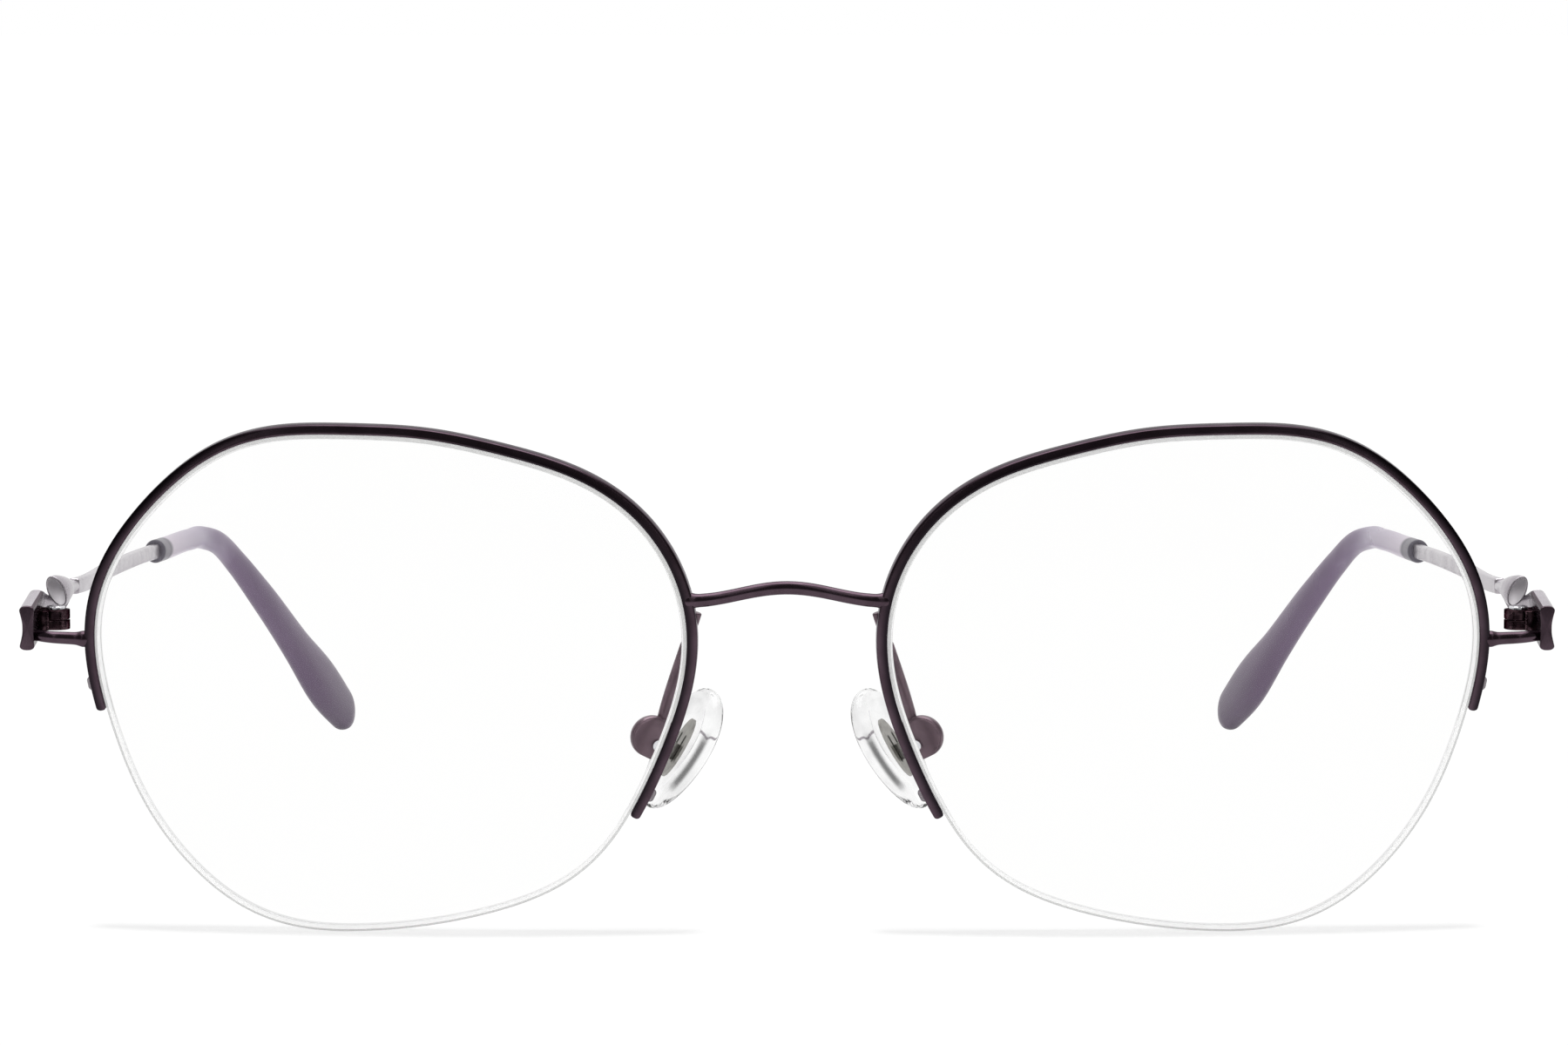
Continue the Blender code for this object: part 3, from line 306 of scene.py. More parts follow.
def build_pair(name, rings, paint, body, node=None, marks=None, bands=None):
    """The skin on the left and its mirror on the right. The names lack their side, and so does a body
    that isn't the front."""
    return [
        build(f"{label}_{name}", rings, side, paint, body if body == "front" else f"{label}_{body}",
              node and f"{label}_{node}", marks, bands) for label, side in SIDES]


# The clear lens is tinted grey in a thin line round the back face's edge, a painted shade.
clear_lens = finish(
    "clear_lens", {"Transmission Weight": 1.0, "IOR": 1.12},
    lambda place: {
        "Base Color": place.mark("back_edge_painted_shade").tint(
            place.noise(90.0).tint(grey(1.0), (0.995, 0.995, 0.99, 1.0)), grey(0.60)),
        "Roughness": place.noise(60.0, 5.0).spread(0.35, 0.75, 0.0, 0.006),
    })
# The ground edge is frosted near white and glows faintly: painted light for the light the lens carries to its
# edge.
ground_edge = finish(
    "ground_lens_edge", {"IOR": 1.12, "Emission Strength": 0.34},
    lambda place: {
        "Base Color": place.noise(1500.0, 4.0).tint(grey(0.97), grey(0.90)),
        "Emission Color": place.noise(800.0).tint(grey(1.0), grey(0.92)),
        "Roughness": place.noise(4000.0) * 0.2 + 0.45,
        "Alpha": place.noise(800.0).spread(0.3, 0.7, 0.78, 0.84),
    })
# The bevel is painted grey: a painted shade for the dark line a lens bevel shows.
bevel_edge = finish(
    "lens_bevel", {"IOR": 1.12},
    lambda place: {
        "Base Color": place.noise(1200.0, 4.0).tint(grey(0.40), (0.48, 0.48, 0.47, 1.0)),
        "Roughness": place.noise(4000.0) * 0.2 + 0.30,
        "Alpha": place.noise(900.0) * 0.06 + 0.50,
    })
# The groove floor is painted pale grey, a painted shade in the groove, and glows faintly, painted light; both
# fade where the groove is bared.
groove_floor = finish(
    "groove_floor", {"IOR": 1.12, "Emission Strength": 0.10},
    lambda place: {
        "Base Color": place.noise(1200.0, 4.0).tint(grey(0.74), (0.82, 0.82, 0.81, 1.0)),
        "Emission Color": place.noise(800.0).tint(grey(1.0), grey(0.85)),
        "Roughness": place.noise(4000.0) * 0.2 + 0.45,
        "Alpha": (1.0 - place.mark("bared")) * 0.62 + place.noise(900.0) * 0.10,
    })
around = np.linspace(0.0, 2 * math.pi, LENS_STATIONS, endpoint=False)[None]
lens_shares = np.sin(np.linspace(0.02, 1.0, FACE_RINGS + 1) * math.pi / 2)[:-1, None] * FACE_SHARE
offset, depth = np.array(HALF_EDGE).T[:, :, None] * MM
offset, depth = joined(offset, offset[-2::-1]), joined(depth, LENS_THICKNESS - depth[-2::-1])
lens_rings = joined(
    face(around, lens_shares, 0.0), edge(around, offset, depth),
    face(around, lens_shares[::-1], LENS_THICKNESS))
polished = (POLISHED,) * FACE_RINGS
lens_bands = joined(polished, HALF_STRIPS, HALF_STRIPS[::-1], polished)
# The groove is bared below the rim's ends; the back face has a thin grey line at its edge, a painted shade.
past_rim = (around - RIM_TEMPLE_END) % (2 * math.pi)
past_nose = past_rim - (RIM_NOSE_END - RIM_TEMPLE_END)
bared = np.clip(past_nose / BARED_FADE, 0.0, 1.0) * np.clip((2 * math.pi - past_rim) / BARED_FADE, 0.0, 1.0)
back_edge_painted_shade = np.zeros((len(lens_rings), 1))
back_edge_painted_shade[FACE_RINGS + len(offset) - 1:][:2] = 1.0
build_pair("clear_lens", lens_rings, (clear_lens, ground_edge, bevel_edge, groove_floor), "front",
           "lens", {"bared": bared, "back_edge_painted_shade": back_edge_painted_shade}, lens_bands)


# The rims. Nickel-alloy channel bars, bent round the upper part of each lens and open below,
# polished and plated a dark plum, with their sawn ends rounded over.
RIM_WIDTH = 0.87 * MM
RIM_DEPTH = 1.50 * MM
RIM_CHANNEL = 0.42 * MM
RIM_SWELL = 0.10 * MM
RIM_END_ROUND = 0.40 * MM
RIM_END_DEPTH_SHARE = 0.35
RIM_STATIONS = 300
LENS_FIT = 0.05 * MM
GROOVE_WIDTH = 0.60 * MM
CORNER_STEPS = 5
OUTER_CORNER, INNER_CORNER = 6, 7
NOSE_PAINTED_SHADE, TEMPLE_PAINTED_SHADE = 1.6, 1.3
PLUM = (0.080, 0.052, 0.069, 1.0)
PLUM_DARK = (0.055, 0.034, 0.046, 1.0)


def plum_pattern(place):
    """Thin plating over polished metal, with faint clouds and fine draw lines, painted near black along a
    marked corner: a painted dark reflection."""
    clouds = place.noise(420.0, 4.0)
    grain = place.stretched((1.0, 3.0, 1.0)).noise(6000.0, 2.0)
    even = clouds.spread(0.3, 0.7).tint(PLUM, PLUM_DARK)
    return {
        "Base Color": place.mark("painted_corner_shade").tint(even, (0.016, 0.010, 0.015, 1.0)),
        "Roughness": clouds * 0.10 + grain * 0.05 + 0.14,
        "Normal": grain.bump(0.10, 0.00001),
    }


plum = finish(
    "plum_plating",
    {"Metallic": 1.0, "Specular Tint": (0.50, 0.48, 0.50, 1.0), "Coat Weight": 0.15, "Coat Roughness": 0.12},
    plum_pattern)


def corner_curves(corners, before, after, reach, steps):
    """A curve round each corner, from a reach before it to a reach after it: the corner plus the two
    directions, weighted by the squares of one less t and of t."""
    t = np.linspace(0.0, 1.0, steps)[None, :, None]
    lead, leave = unit(before - corners)[:, None], unit(after - corners)[:, None]
    return (corners[:, None] + reach * ((1 - t) ** 2 * lead + t ** 2 * leave)).reshape(-1, corners.shape[1])


def softened(corners, radii):
    """Closed outline whose corners are rounded."""
    corners = np.array(corners)
    reach = np.broadcast_to(radii, len(corners))[:, None, None]
    return corner_curves(corners, np.roll(corners, 1, 0), np.roll(corners, -1, 0), reach, CORNER_STEPS)


middle = LENS_THICKNESS / 2
lip = GROOVE_WIDTH / 2
rim_inner, rim_outer = LENS_FIT, LENS_FIT + RIM_WIDTH
rim_front, rim_rear = middle - RIM_DEPTH / 2, middle + RIM_DEPTH / 2
rim_floor = rim_inner + RIM_CHANNEL
rim_section = softened(
    ((rim_inner, middle - lip), (rim_floor, middle - lip), (rim_floor, middle + lip),
     (rim_inner, middle + lip), (rim_inner, rim_rear), (rim_outer, rim_rear), (rim_outer, rim_front),
     (rim_inner, rim_front)),
    np.array((0.03, 0.05, 0.05, 0.03, 0.12, 0.20, 0.22, 0.20)) * MM)
# Sections along the outline, close together at the ends, where a quarter circle turns the bar down.
quarter = np.linspace(0.06, 1.0, 9) * math.pi / 2
start = walk(RIM_TEMPLE_END, RIM_END_ROUND * (1 - np.cos(quarter)))
stop = walk(RIM_NOSE_END, RIM_END_ROUND * (np.cos(quarter[::-1]) - 1))
rim_angles = joined(start, np.linspace(start[-1], stop[0], RIM_STATIONS)[1:-1], stop)
share = joined(np.sin(quarter), np.ones(RIM_STATIONS - 2), np.sin(quarter[::-1]))[:, None]
bar_middle = (rim_inner + rim_outer) / 2
offsets = bar_middle + (rim_section[:, 0] - bar_middle) * share
depths = middle + (rim_section[:, 1] - middle) * (RIM_END_DEPTH_SHARE + (1 - RIM_END_DEPTH_SHARE) * share)
# The bar leans back with the lens's sphere and swells at both sides of the lens. Its front edge is painted
# near black, a painted dark reflection: the inner corner beside the nose, the outer one beside the temple.
to_temple = np.cos(rim_angles[:, None])
slope = np.linalg.norm(outline(rim_angles)[0], axis=1)[:, None] / LENS_CURVE
offsets = offsets + RIM_SWELL * to_temple ** 2 * (offsets - rim_inner) / RIM_WIDTH
rim_rings = edge(rim_angles[:, None], offsets, depths + slope * (offsets - bar_middle))
corner_at = np.arange(len(rim_section)) // CORNER_STEPS
painted_corner_shade = (corner_at == INNER_CORNER) * np.clip(-NOSE_PAINTED_SHADE * to_temple, 0.0, 1.0) + (
    corner_at == OUTER_CORNER) * np.clip(TEMPLE_PAINTED_SHADE * to_temple, 0.0, 1.0)
build_pair("rim_bar", rim_rings, plum, "front", "rim", {"painted_corner_shade": painted_corner_shade})


# The liners. Clear nylon strips pressed into the rims' channels, whose lips sit in the lens
# grooves and keep the metal off the lens.
CORD_HOLE_SETBACK = 2.1 * MM
CORD_HOLE_SPACING = 0.92 * MM
LINER_WIDTH = 0.40 * MM
LINER_FIT = 0.06 * MM
LINER_BITE = 0.30 * MM
LINER_ROUND = 0.06 * MM
NYLON_END_ROUND = 0.05 * MM
clear_nylon = finish(
    "clear_nylon", {"Transmission Weight": 0.9, "IOR": 1.12},
    lambda place: {
        "Base Color": place.noise(900.0).tint(grey(0.99), grey(0.95)),
        "Roughness": place.noise(2500.0, 2.0) * 0.2 + 0.12,
    })
liner_top = rim_floor - LINER_FIT
liner_half = LINER_WIDTH / 2
liner_section = softened(
    ((-LINER_BITE, middle - liner_half), (liner_top, middle - liner_half),
     (liner_top, middle + liner_half), (-LINER_BITE, middle + liner_half)), LINER_ROUND)
hole_far = CORD_HOLE_SETBACK + CORD_HOLE_SPACING
liner_start = walk(RIM_TEMPLE_END, hole_far + CORD_HOLE_SPACING)
liner_stop = walk(RIM_NOSE_END, -hole_far - CORD_HOLE_SPACING)
liner_angles = np.linspace(liner_start, liner_stop, 240)[:, None]
liner_rings = with_ends(edge(liner_angles, liner_section[:, 0], liner_section[:, 1]), NYLON_END_ROUND)
build_pair("liner", liner_rings, clear_nylon, "front", "rim_liner")


# The cords. Clear nylon line in the lower lens grooves, threaded out and back through two
# holes at each end of the rim and pulled tight, which holds the lens up from below.
CORD_RADIUS = 0.18 * MM
CORD_FIT = 0.05 * MM
CORD_BEND = 0.24 * MM


def round_turns(count):
    """Angles evenly round a circle, from half a step on."""
    return 2 * math.pi * (np.arange(count) + 0.5) / count


def tube(points, radii, sides, hint):
    """Round tube: circles about a path's points, square to it and turned with a hint direction."""
    ahead = np.gradient(points, axis=0)
    across = unit(np.cross(ahead, hint))
    above = unit(np.cross(across, ahead))
    turn = round_turns(sides)[None, :, None]
    radii = np.broadcast_to(radii, len(points))[:, None, None]
    return points[:, None] + radii * (np.cos(turn) * across[:, None] + np.sin(turn) * above[:, None])


seat = -GROOVE_DEPTH + CORD_FIT + CORD_RADIUS
outside = rim_outer + CORD_FIT + CORD_RADIUS
tucked = rim_inner + RIM_CHANNEL / 2
corners = np.array((
    (0.0, seat), (CORD_HOLE_SETBACK, seat), (CORD_HOLE_SETBACK, outside), (hole_far, outside),
    (hole_far, tucked)))
turns = corner_curves(corners[1:-1], corners[:-2], corners[2:], CORD_BEND, 6)
threaded = joined(corners[:1], turns, corners[-1:])
temple_end = walk(RIM_TEMPLE_END, threaded[:, 0])
nose_end = walk(RIM_NOSE_END, -threaded[::-1, 0]) - 2 * math.pi
below = np.linspace(nose_end[-1], temple_end[0], 202)[1:-1]
cord_angles = joined(nose_end, below, temple_end)
cord_offsets = joined(threaded[::-1, 1], np.full(len(below), seat), threaded[:, 1])
line_nylon = finish(
    "nylon_line", {"Transmission Weight": 0.85, "IOR": 1.33},
    lambda place: {
        "Base Color": place.mark("loop_painted_shade").tint(
            place.noise(900.0).tint(grey(0.93), grey(0.82)), (0.30, 0.27, 0.29, 1.0)),
        "Roughness": place.noise(2500.0, 2.0) * 0.2 + 0.10,
    })
cord_rings = with_ends(tube(edge(cord_angles, cord_offsets, middle), CORD_RADIUS, 16, BACK), NYLON_END_ROUND)
# Where the cord loops outside the rim it is tinted dark: painted shade for the dark rim seen through the
# clear line.
loop_painted_shade = joined(np.zeros(END_STEPS), cord_offsets[1:-1] > tucked, np.zeros(END_STEPS))[:, None]
build_pair("cord", cord_rings, line_nylon, "front", "nylon_cord", {"loop_painted_shade": loop_painted_shade})


# The bridge. Round wire, arched and bowed forward, with both feet soldered to the rims in a
# small fillet before the frame is plated.
BRIDGE_RADIUS = 0.62 * MM
BRIDGE_RISE = 1.30 * MM
BRIDGE_BOW = 0.8 * MM
BRIDGE_ANGLE = math.radians(163.8)
BRIDGE_BURIED = 0.15 * MM
BRIDGE_FOOT_SHARES = (
    (0.0, 1.0), (0.84, 1.0), (0.94, 1.04), (0.99, 1.20), (1.03, 1.30), (1.06, 1.20), (1.08, 0.85))


def cubic(first, lead, last, trail, t):
    """Curve from first to last whose slopes there are lead and trail."""
    return (first * (1 + 2 * t) * (1 - t) ** 2 + lead * t * (1 - t) ** 2
            + last * t ** 2 * (3 - 2 * t) + trail * t ** 2 * (t - 1))


def smooth(rows, at):
    """Smooth curve through a table's rows: cubic from row to row, its slopes the table's own gradients."""
    table = np.array(rows)
    keys, values = table[:, 0], table[:, 1:]
    slopes = np.gradient(values, keys, axis=0)
    i = np.clip(np.searchsorted(keys, at) - 1, 0, len(keys) - 2)
    gap = (keys[i + 1] - keys[i])[:, None]
    t = (at[:, None] - keys[i][:, None]) / gap
    return cubic(values[i], slopes[i] * gap, values[i + 1], slopes[i + 1] * gap, t)


# The run passes minus one and one, where the feet enter the rims, in closer steps there.
foot = edge(BRIDGE_ANGLE, rim_outer - BRIDGE_BURIED, middle)
even = np.linspace(-1.0, 1.0, 110)
run = (np.sin(even * math.pi / 2) * 0.35 + even * 0.65) * BRIDGE_FOOT_SHARES[-1][0]
wave = (1 + np.cos(math.pi * np.clip(run, -1.0, 1.0))) / 2
bridge_path = np.stack((run * foot[0], foot[1] - BRIDGE_BOW * wave, foot[2] + BRIDGE_RISE * wave), 1)
bridge_radii = BRIDGE_RADIUS * smooth(BRIDGE_FOOT_SHARES, np.abs(run))[:, 0]
bridge_rings = tube(bridge_path, bridge_radii, 28, (0.0, 0.0, 1.0))
build("bridge_wire", bridge_rings, 1, plum, "front", "bridge")


# The endpieces. A wire strut, soldered to the rim, bends back into an upright plate with hollow
# sides and round flared ends, pressed and then plated with the rim.
SOLDER_GAP = 0.03 * MM
STRUT_RADIUS = 0.60 * MM
STRUT_SLIM = 0.09 * MM
STRUT_REACH = 4.81 * MM
STRUT_CLIMB = 0.22 * MM
STRUT_BEND = 1.5 * MM
STRUT_STANDOFF = 0.75 * MM
STRUT_BURIED = 0.2 * MM
STRUT_FILLET = 0.17 * MM
STRUT_FILLET_RUN = 0.42 * MM
STRUT_FILLET_LENGTH = 0.5 * MM
STRUT_ANGLE = math.radians(7.5)
PLATE_THICKNESS = 1.36 * MM
PLATE_HOLLOW_OUTER = 0.27 * MM
PLATE_HOLLOW_INNER = 0.08 * MM
PLATE_LENGTH = 4.3 * MM
PLATE_LEAD = 0.1 * MM
PLATE_BELOW = 1.08 * MM
PLATE_ABOVE = 3.0 * MM
PLATE_CLIMB_TOP = 1.05 * MM
PLATE_CLIMB_FOOT = 0.45 * MM
PLATE_LEAN = 0.40 * MM
PLATE_EDGE_SHARES = (
    (1.0, 0.22), (0.98, 0.55), (0.92, 0.86), (0.82, 1.0), (0.60, 0.62), (0.28, 0.12), (0.0, 0.0))
PLATE_END_ROWS = 3
PLATE_ROUND = 0.08 * MM
PLATE_RINGS = 14
LOOP_STEPS = 4

strut_root = edge(STRUT_ANGLE, rim_outer + SOLDER_GAP, middle)
plate_inner = strut_root[0] + STRUT_REACH
plate_middle = plate_inner + PLATE_THICKNESS / 2
plate_front = strut_root[1] + PLATE_LEAD
plate_rear = plate_front + PLATE_LENGTH
plate_low = strut_root[2] - PLATE_BELOW
plate_high = strut_root[2] + PLATE_ABOVE


def smooth_loop(points):
    """Closed curve through points, whose slope at each is half the way between its neighbours."""
    ahead, behind, beyond = np.roll(points, -1, 0), np.roll(points, 1, 0), np.roll(points, -2, 0)
    t = (np.arange(LOOP_STEPS) / LOOP_STEPS)[None, :, None]
    lead, trail = (ahead - behind)[:, None] / 2, (beyond - points)[:, None] / 2
    return cubic(points[:, None], lead, ahead[:, None], trail, t).reshape(-1, points.shape[1])


def bone(x, y, low, high, slim, lean):
    """Upright sections with hollow sides and round flared ends, leaning inward above their middle. The
    edge shares give their width at each height: first the round end, then the hollow."""
    tall, wide = np.array(PLATE_EDGE_SHARES).T
    flare = PLATE_THICKNESS / 2 - slim[:, None]

    def flank(hollow):
        in_end = np.arange(len(tall)) < PLATE_END_ROWS
        reach = np.where(in_end, flare * wide, flare - hollow * (1 - wide))
        return np.concatenate((reach, reach[:, -2::-1]), 1)

    heights = joined(tall, -tall[-2::-1])
    heights = joined(heights, heights[::-1])
    reach = np.concatenate((flank(PLATE_HOLLOW_OUTER), -flank(PLATE_HOLLOW_INNER)[:, ::-1]), 1)
    across = x[:, None] + reach - lean[:, None] * np.maximum(heights, 0.0)
    level = ((high + low) / 2)[:, None] + heights * ((high - low) / 2)[:, None]
    rings = np.stack((across, np.broadcast_to(y[:, None], across.shape), level), 2)
    loops = smooth_loop(rings.transpose(1, 0, 2).reshape(rings.shape[1], -1))
    return with_ends(loops.reshape(-1, len(x), 3).transpose(1, 0, 2), PLATE_ROUND)


back_share = np.linspace(0.0, 1.0, PLATE_RINGS)
plate_rings = bone(
    np.full(PLATE_RINGS, plate_middle), plate_front + back_share * PLATE_LENGTH,
    plate_low + PLATE_CLIMB_FOOT * back_share, plate_high + PLATE_CLIMB_TOP * back_share,
    np.zeros(PLATE_RINGS), PLATE_LEAN * back_share)


def mauve_pattern(place):
    """Pale mauve plating, lighter in patches, with fine lines along the rod. The plate's front and inner side
    are plum as the rim is, its other faces pale, a painted highlight; the horn's cup is painted pale and
    dull, a painted reflection."""
    clouds = place.noise(350.0, 4.0)
    lines = place.stretched((6.0, 0.4, 6.0)).noise(1400.0, 2.0)
    pale = clouds.spread(0.3, 0.7).tint((0.46, 0.43, 0.46, 1.0), (0.38, 0.35, 0.38, 1.0))
    deep = clouds.spread(0.3, 0.7).tint(PLUM, PLUM_DARK)
    cup_painted_light = place.mark("cup_painted_light")
    plated = place.mark("plum_face").spread(0.1, 0.6).tint(pale, deep)
    return {
        "Base Color": cup_painted_light.spread(0.0, 1.0).tint(plated, (0.60, 0.58, 0.60, 1.0)),
        "Roughness": clouds * 0.12 + lines * 0.06 + 0.16 + cup_painted_light * 0.3,
        "Metallic": cup_painted_light.spread(0.0, 1.0, 0.75, 0.10),
        "Normal": lines.bump(0.08, 0.00001),
    }


def pulled(first, corner, last, t):
    """Curve from first to last, pulled to a corner between them."""
    return (1 - t) ** 2 * first + 2 * t * (1 - t) * corner + t ** 2 * last


# The inner side is the second half of a section's loop, less the round ends.
mauve = finish("mauve_plating", {"IOR": 1.45}, mauve_pattern)
flank_points = 2 * len(PLATE_EDGE_SHARES) - 1
# Only the plate's front and inner side are marked plum; its top, outer side and back keep the pale mauve, a
# painted highlight.
plum_face = np.zeros(plate_rings.shape[:2])
plum_face[:END_STEPS] = 1.0
plum_face[:, LOOP_STEPS * (flank_points + 2):LOOP_STEPS * (2 * flank_points - 2)] = 1.0
corner = np.array((plate_inner - STRUT_STANDOFF, strut_root[1], strut_root[2] + STRUT_CLIMB))
into = np.array((plate_middle, strut_root[1] + STRUT_BEND + STRUT_RADIUS, corner[2]))
turn_start = corner + STRUT_BEND * unit(strut_root - corner)
buried = edge(STRUT_ANGLE, rim_outer + SOLDER_GAP - STRUT_BURIED, middle)
straight = buried + (turn_start - buried) * np.linspace(0.0, 1.0, 26)[:-1, None] ** 1.5
bend = pulled(turn_start, corner, into, np.linspace(0.0, 1.0, 24)[:, None])
strut_path = joined(straight, bend)
run = np.linalg.norm(strut_path - buried, axis=1)
fillet = STRUT_FILLET * np.exp(-((run - STRUT_FILLET_RUN) / STRUT_FILLET_LENGTH) ** 2)
strut_rings = tube(strut_path, STRUT_RADIUS - STRUT_SLIM * run / run.max() + fillet, 28, (0.0, 0.0, 1.0))
build_pair("end_plate", plate_rings, mauve, "front", "endpiece", {"plum_face": plum_face})
build_pair("strut", strut_rings, plum, "front")


# The hinges. Two leaves with a knuckle each, soldered to the end plate and to the temple, and
# a slotted screw through both. They are plated darker and less evenly than the frame.
KNUCKLE_RADIUS = 1.33 * MM
KNUCKLE_INSET = 1.45 * MM
KNUCKLE_CLEARANCE = 0.12 * MM
HINGE_HEIGHT = 1.84 * MM
HINGE_LIFT = 0.40 * MM
HINGE_SLIT = 0.10 * MM
HINGE_ROUND = 0.06 * MM
JOINT_GAP = 0.10 * MM
LEAF_SUNK = 0.10 * MM
LEAF_NEAR = 0.55 * MM
LEAF_FAR = 1.60 * MM
LEAF_SIDE = 0.45 * MM


def cloudy(place, scale, span, colours, cloud_share, grain_share, least, strength):
    """Plating with thin patches, a grain and a surface that isn't quite even."""
    clouds = place.noise(scale, 5.0, 0.6)
    return {
        "Base Color": clouds.spread(*span).tint(*colours),
        "Roughness": clouds * cloud_share + place.noise(5000.0, 2.0) * grain_share + least,
        "Normal": clouds.bump(strength, 0.00006),
    }


dark_hinge = finish(
    "dark_hinge_plating", {"Metallic": 1.0, "Specular Tint": (0.30, 0.22, 0.25, 1.0)},
    lambda place: cloudy(place, 900.0, (0.42, 0.68), ((0.022, 0.012, 0.016, 1.0), (0.10, 0.06, 0.07, 1.0)),
                         0.2, 0.1, 0.12, 0.25))
bright_steel = finish(
    "bright_steel", {"Metallic": 1.0},
    lambda place: {
        "Base Color": place.noise(2500.0).tint((0.78, 0.78, 0.80, 1.0), (0.60, 0.60, 0.63, 1.0)),
        "Roughness": place.noise(4000.0) * 0.25 + 0.10,
        "Normal": place.noise(7000.0).bump(0.2, 0.00002),
    })
pivot = np.array((plate_inner - KNUCKLE_INSET, plate_rear + JOINT_GAP / 2, strut_root[2] + HINGE_LIFT))
leaf_reach = plate_inner + LEAF_SUNK - pivot[0]
sweep = KNUCKLE_RADIUS + KNUCKLE_CLEARANCE


def upright(plan, away, low, high):
    """A plan round the pivot, turned to the front or to the temple by away, carried up from low to high."""
    levels = np.linspace(low, high, 4)[:, None, None] * np.ones((1, len(plan), 1))
    flat = np.broadcast_to(pivot[:2] + plan * (1, away), (4, len(plan), 2))
    return with_ends(np.concatenate((flat, levels), 2), HINGE_ROUND)


# The knuckle is three quarters of a circle with a square foot, the leaf a block with a hollow that
# clears the other knuckle.
slip = math.asin(JOINT_GAP / 2 / KNUCKLE_RADIUS)
turn = np.linspace(-slip, 1.5 * math.pi, 40)
knuckle = joined(
    KNUCKLE_RADIUS * np.stack((np.cos(turn), -np.sin(turn)), 1),
    ((leaf_reach * 0.5, KNUCKLE_RADIUS), (leaf_reach, KNUCKLE_RADIUS), (leaf_reach, JOINT_GAP / 2)))
turn = np.linspace(math.asin(LEAF_SIDE / sweep), math.acos(LEAF_NEAR / sweep), 16)
leaf = joined(
    ((leaf_reach, LEAF_FAR), (LEAF_SIDE, LEAF_FAR)), sweep * np.stack((np.sin(turn), np.cos(turn)), 1),
    ((leaf_reach, LEAF_NEAR),))
hinge_low, hinge_high = pivot[2], pivot[2] + HINGE_HEIGHT
split = (hinge_low + hinge_high) / 2
for part, away, body, low, high in (
        ("front", -1, "front", hinge_low, split - HINGE_SLIT / 2),
        ("temple", 1, "temple_arm", split + HINGE_SLIT / 2, hinge_high)):
    build_pair(f"{part}_knuckle", upright(knuckle, away, low, high), dark_hinge, body,
               f"{part}_hinge_leaf")
    build_pair(f"{part}_leaf", upright(leaf, away, hinge_low, hinge_high), dark_hinge, body)
for label, side in SIDES:
    for part in ("hinge_screw", "pad_screw"):
        frame["nodes"][f"{label}_{part}"].data.materials[0] = bright_steel


# The temples. A slim square rod runs back from a cupped horn that opens forward, and a web
# joins the horn to the plate at the hinge; pressed in one piece and plated a paler mauve.
TEMPLE_REACH = 126.5 * MM
TEMPLE_INSET = 19.4 * MM
TEMPLE_RISE = 3.62 * MM
TEMPLE_LINE_SHARES = (
    (0.000, 0.094, 1.000), (0.019, 0.099, 1.000), (0.043, 0.120, 0.998), (0.075, 0.142, 0.989),
    (0.241, 0.164, 0.956), (0.432, 0.194, 0.913), (0.559, 0.236, 0.882), (0.654, 0.292, 0.866),
    (0.702, 0.331, 0.851), (0.729, 0.390, 0.823), (0.777, 0.480, 0.718), (0.824, 0.587, 0.577),
    (0.948, 0.865, 0.181), (1.000, 0.998, 0.016),
)
TEMPLE_HEIGHT = strut_root[2] + TEMPLE_RISE
TIP_SETTLE_SHARE = 0.66
TIP_MOUTH_SHARE = 0.505
SHAFT_WIDTH = 1.10 * MM
SHAFT_HEIGHT = 1.50 * MM
SHAFT_SQUARE = 2.2
NECK_WIDTH = 1.14 * MM
NECK_HEIGHT = 1.13 * MM
NECK_STEP_SHARE = 0.12 * MM / TEMPLE_REACH
HORN_WIDTH = 1.90 * MM
HORN_HEIGHT = 3.05 * MM
HORN_START = 2.4 * MM
HORN_LENGTH = 6.4 * MM
HORN_CUP_DEPTH = 1.5 * MM
HORN_LIP = 0.20 * MM
HORN_TILT = math.radians(26.0)
HORN_SHARES = (
    (0.00, 1.00, 0.88, 1.0), (0.10, 0.99, 1.00, 0.95), (0.32, 0.84, 0.99, 0.7),
    (0.58, 0.58, 0.80, 0.35), (0.82, 0.42, 0.64, 0.1), (1.00, 0.37, 0.60, 0.0),
)
WEB_LENGTH = 7.0 * MM
WEB_INSET = 2.42 * MM
WEB_FOOT_RISE = 3.1 * MM
WEB_TOP_DROP = 0.85 * MM
WEB_THINNING = 0.6 * MM
WEB_SHARES = (
    (0.00, 0.00, 0.00, 0.00), (0.14, 0.01, 0.02, 0.22), (0.28, 0.03, 0.06, 0.55), (0.42, 0.22, 0.18, 1.00),
    (0.56, 0.55, 0.42, 1.05), (0.78, 0.86, 0.78, 0.95), (1.00, 1.00, 1.10, 0.80),
)
temple_face = plate_rear + JOINT_GAP
settle = 0.0


def temple_line(share):
    """The temple's middle line: the table's inset and height, its tail raised to settle by a smooth step."""
    inset, height = smooth(TEMPLE_LINE_SHARES, share).T
    ramp = np.clip((share - TIP_SETTLE_SHARE) / (1 - TIP_SETTLE_SHARE), 0.0, 1.0)
    return np.stack((
        plate_middle - TEMPLE_INSET * inset, temple_face + TEMPLE_REACH * share,
        TEMPLE_HEIGHT * height + settle * ramp ** 2 * (3 - 2 * ramp)), 1)


def squared_oval(turn, square):
    """Cosine and sine raised to two over square, which squares the oval off."""
    power = 2 / square
    return (np.sign(np.cos(turn)) * np.abs(np.cos(turn)) ** power,
            np.sign(np.sin(turn)) * np.abs(np.sin(turn)) ** power)


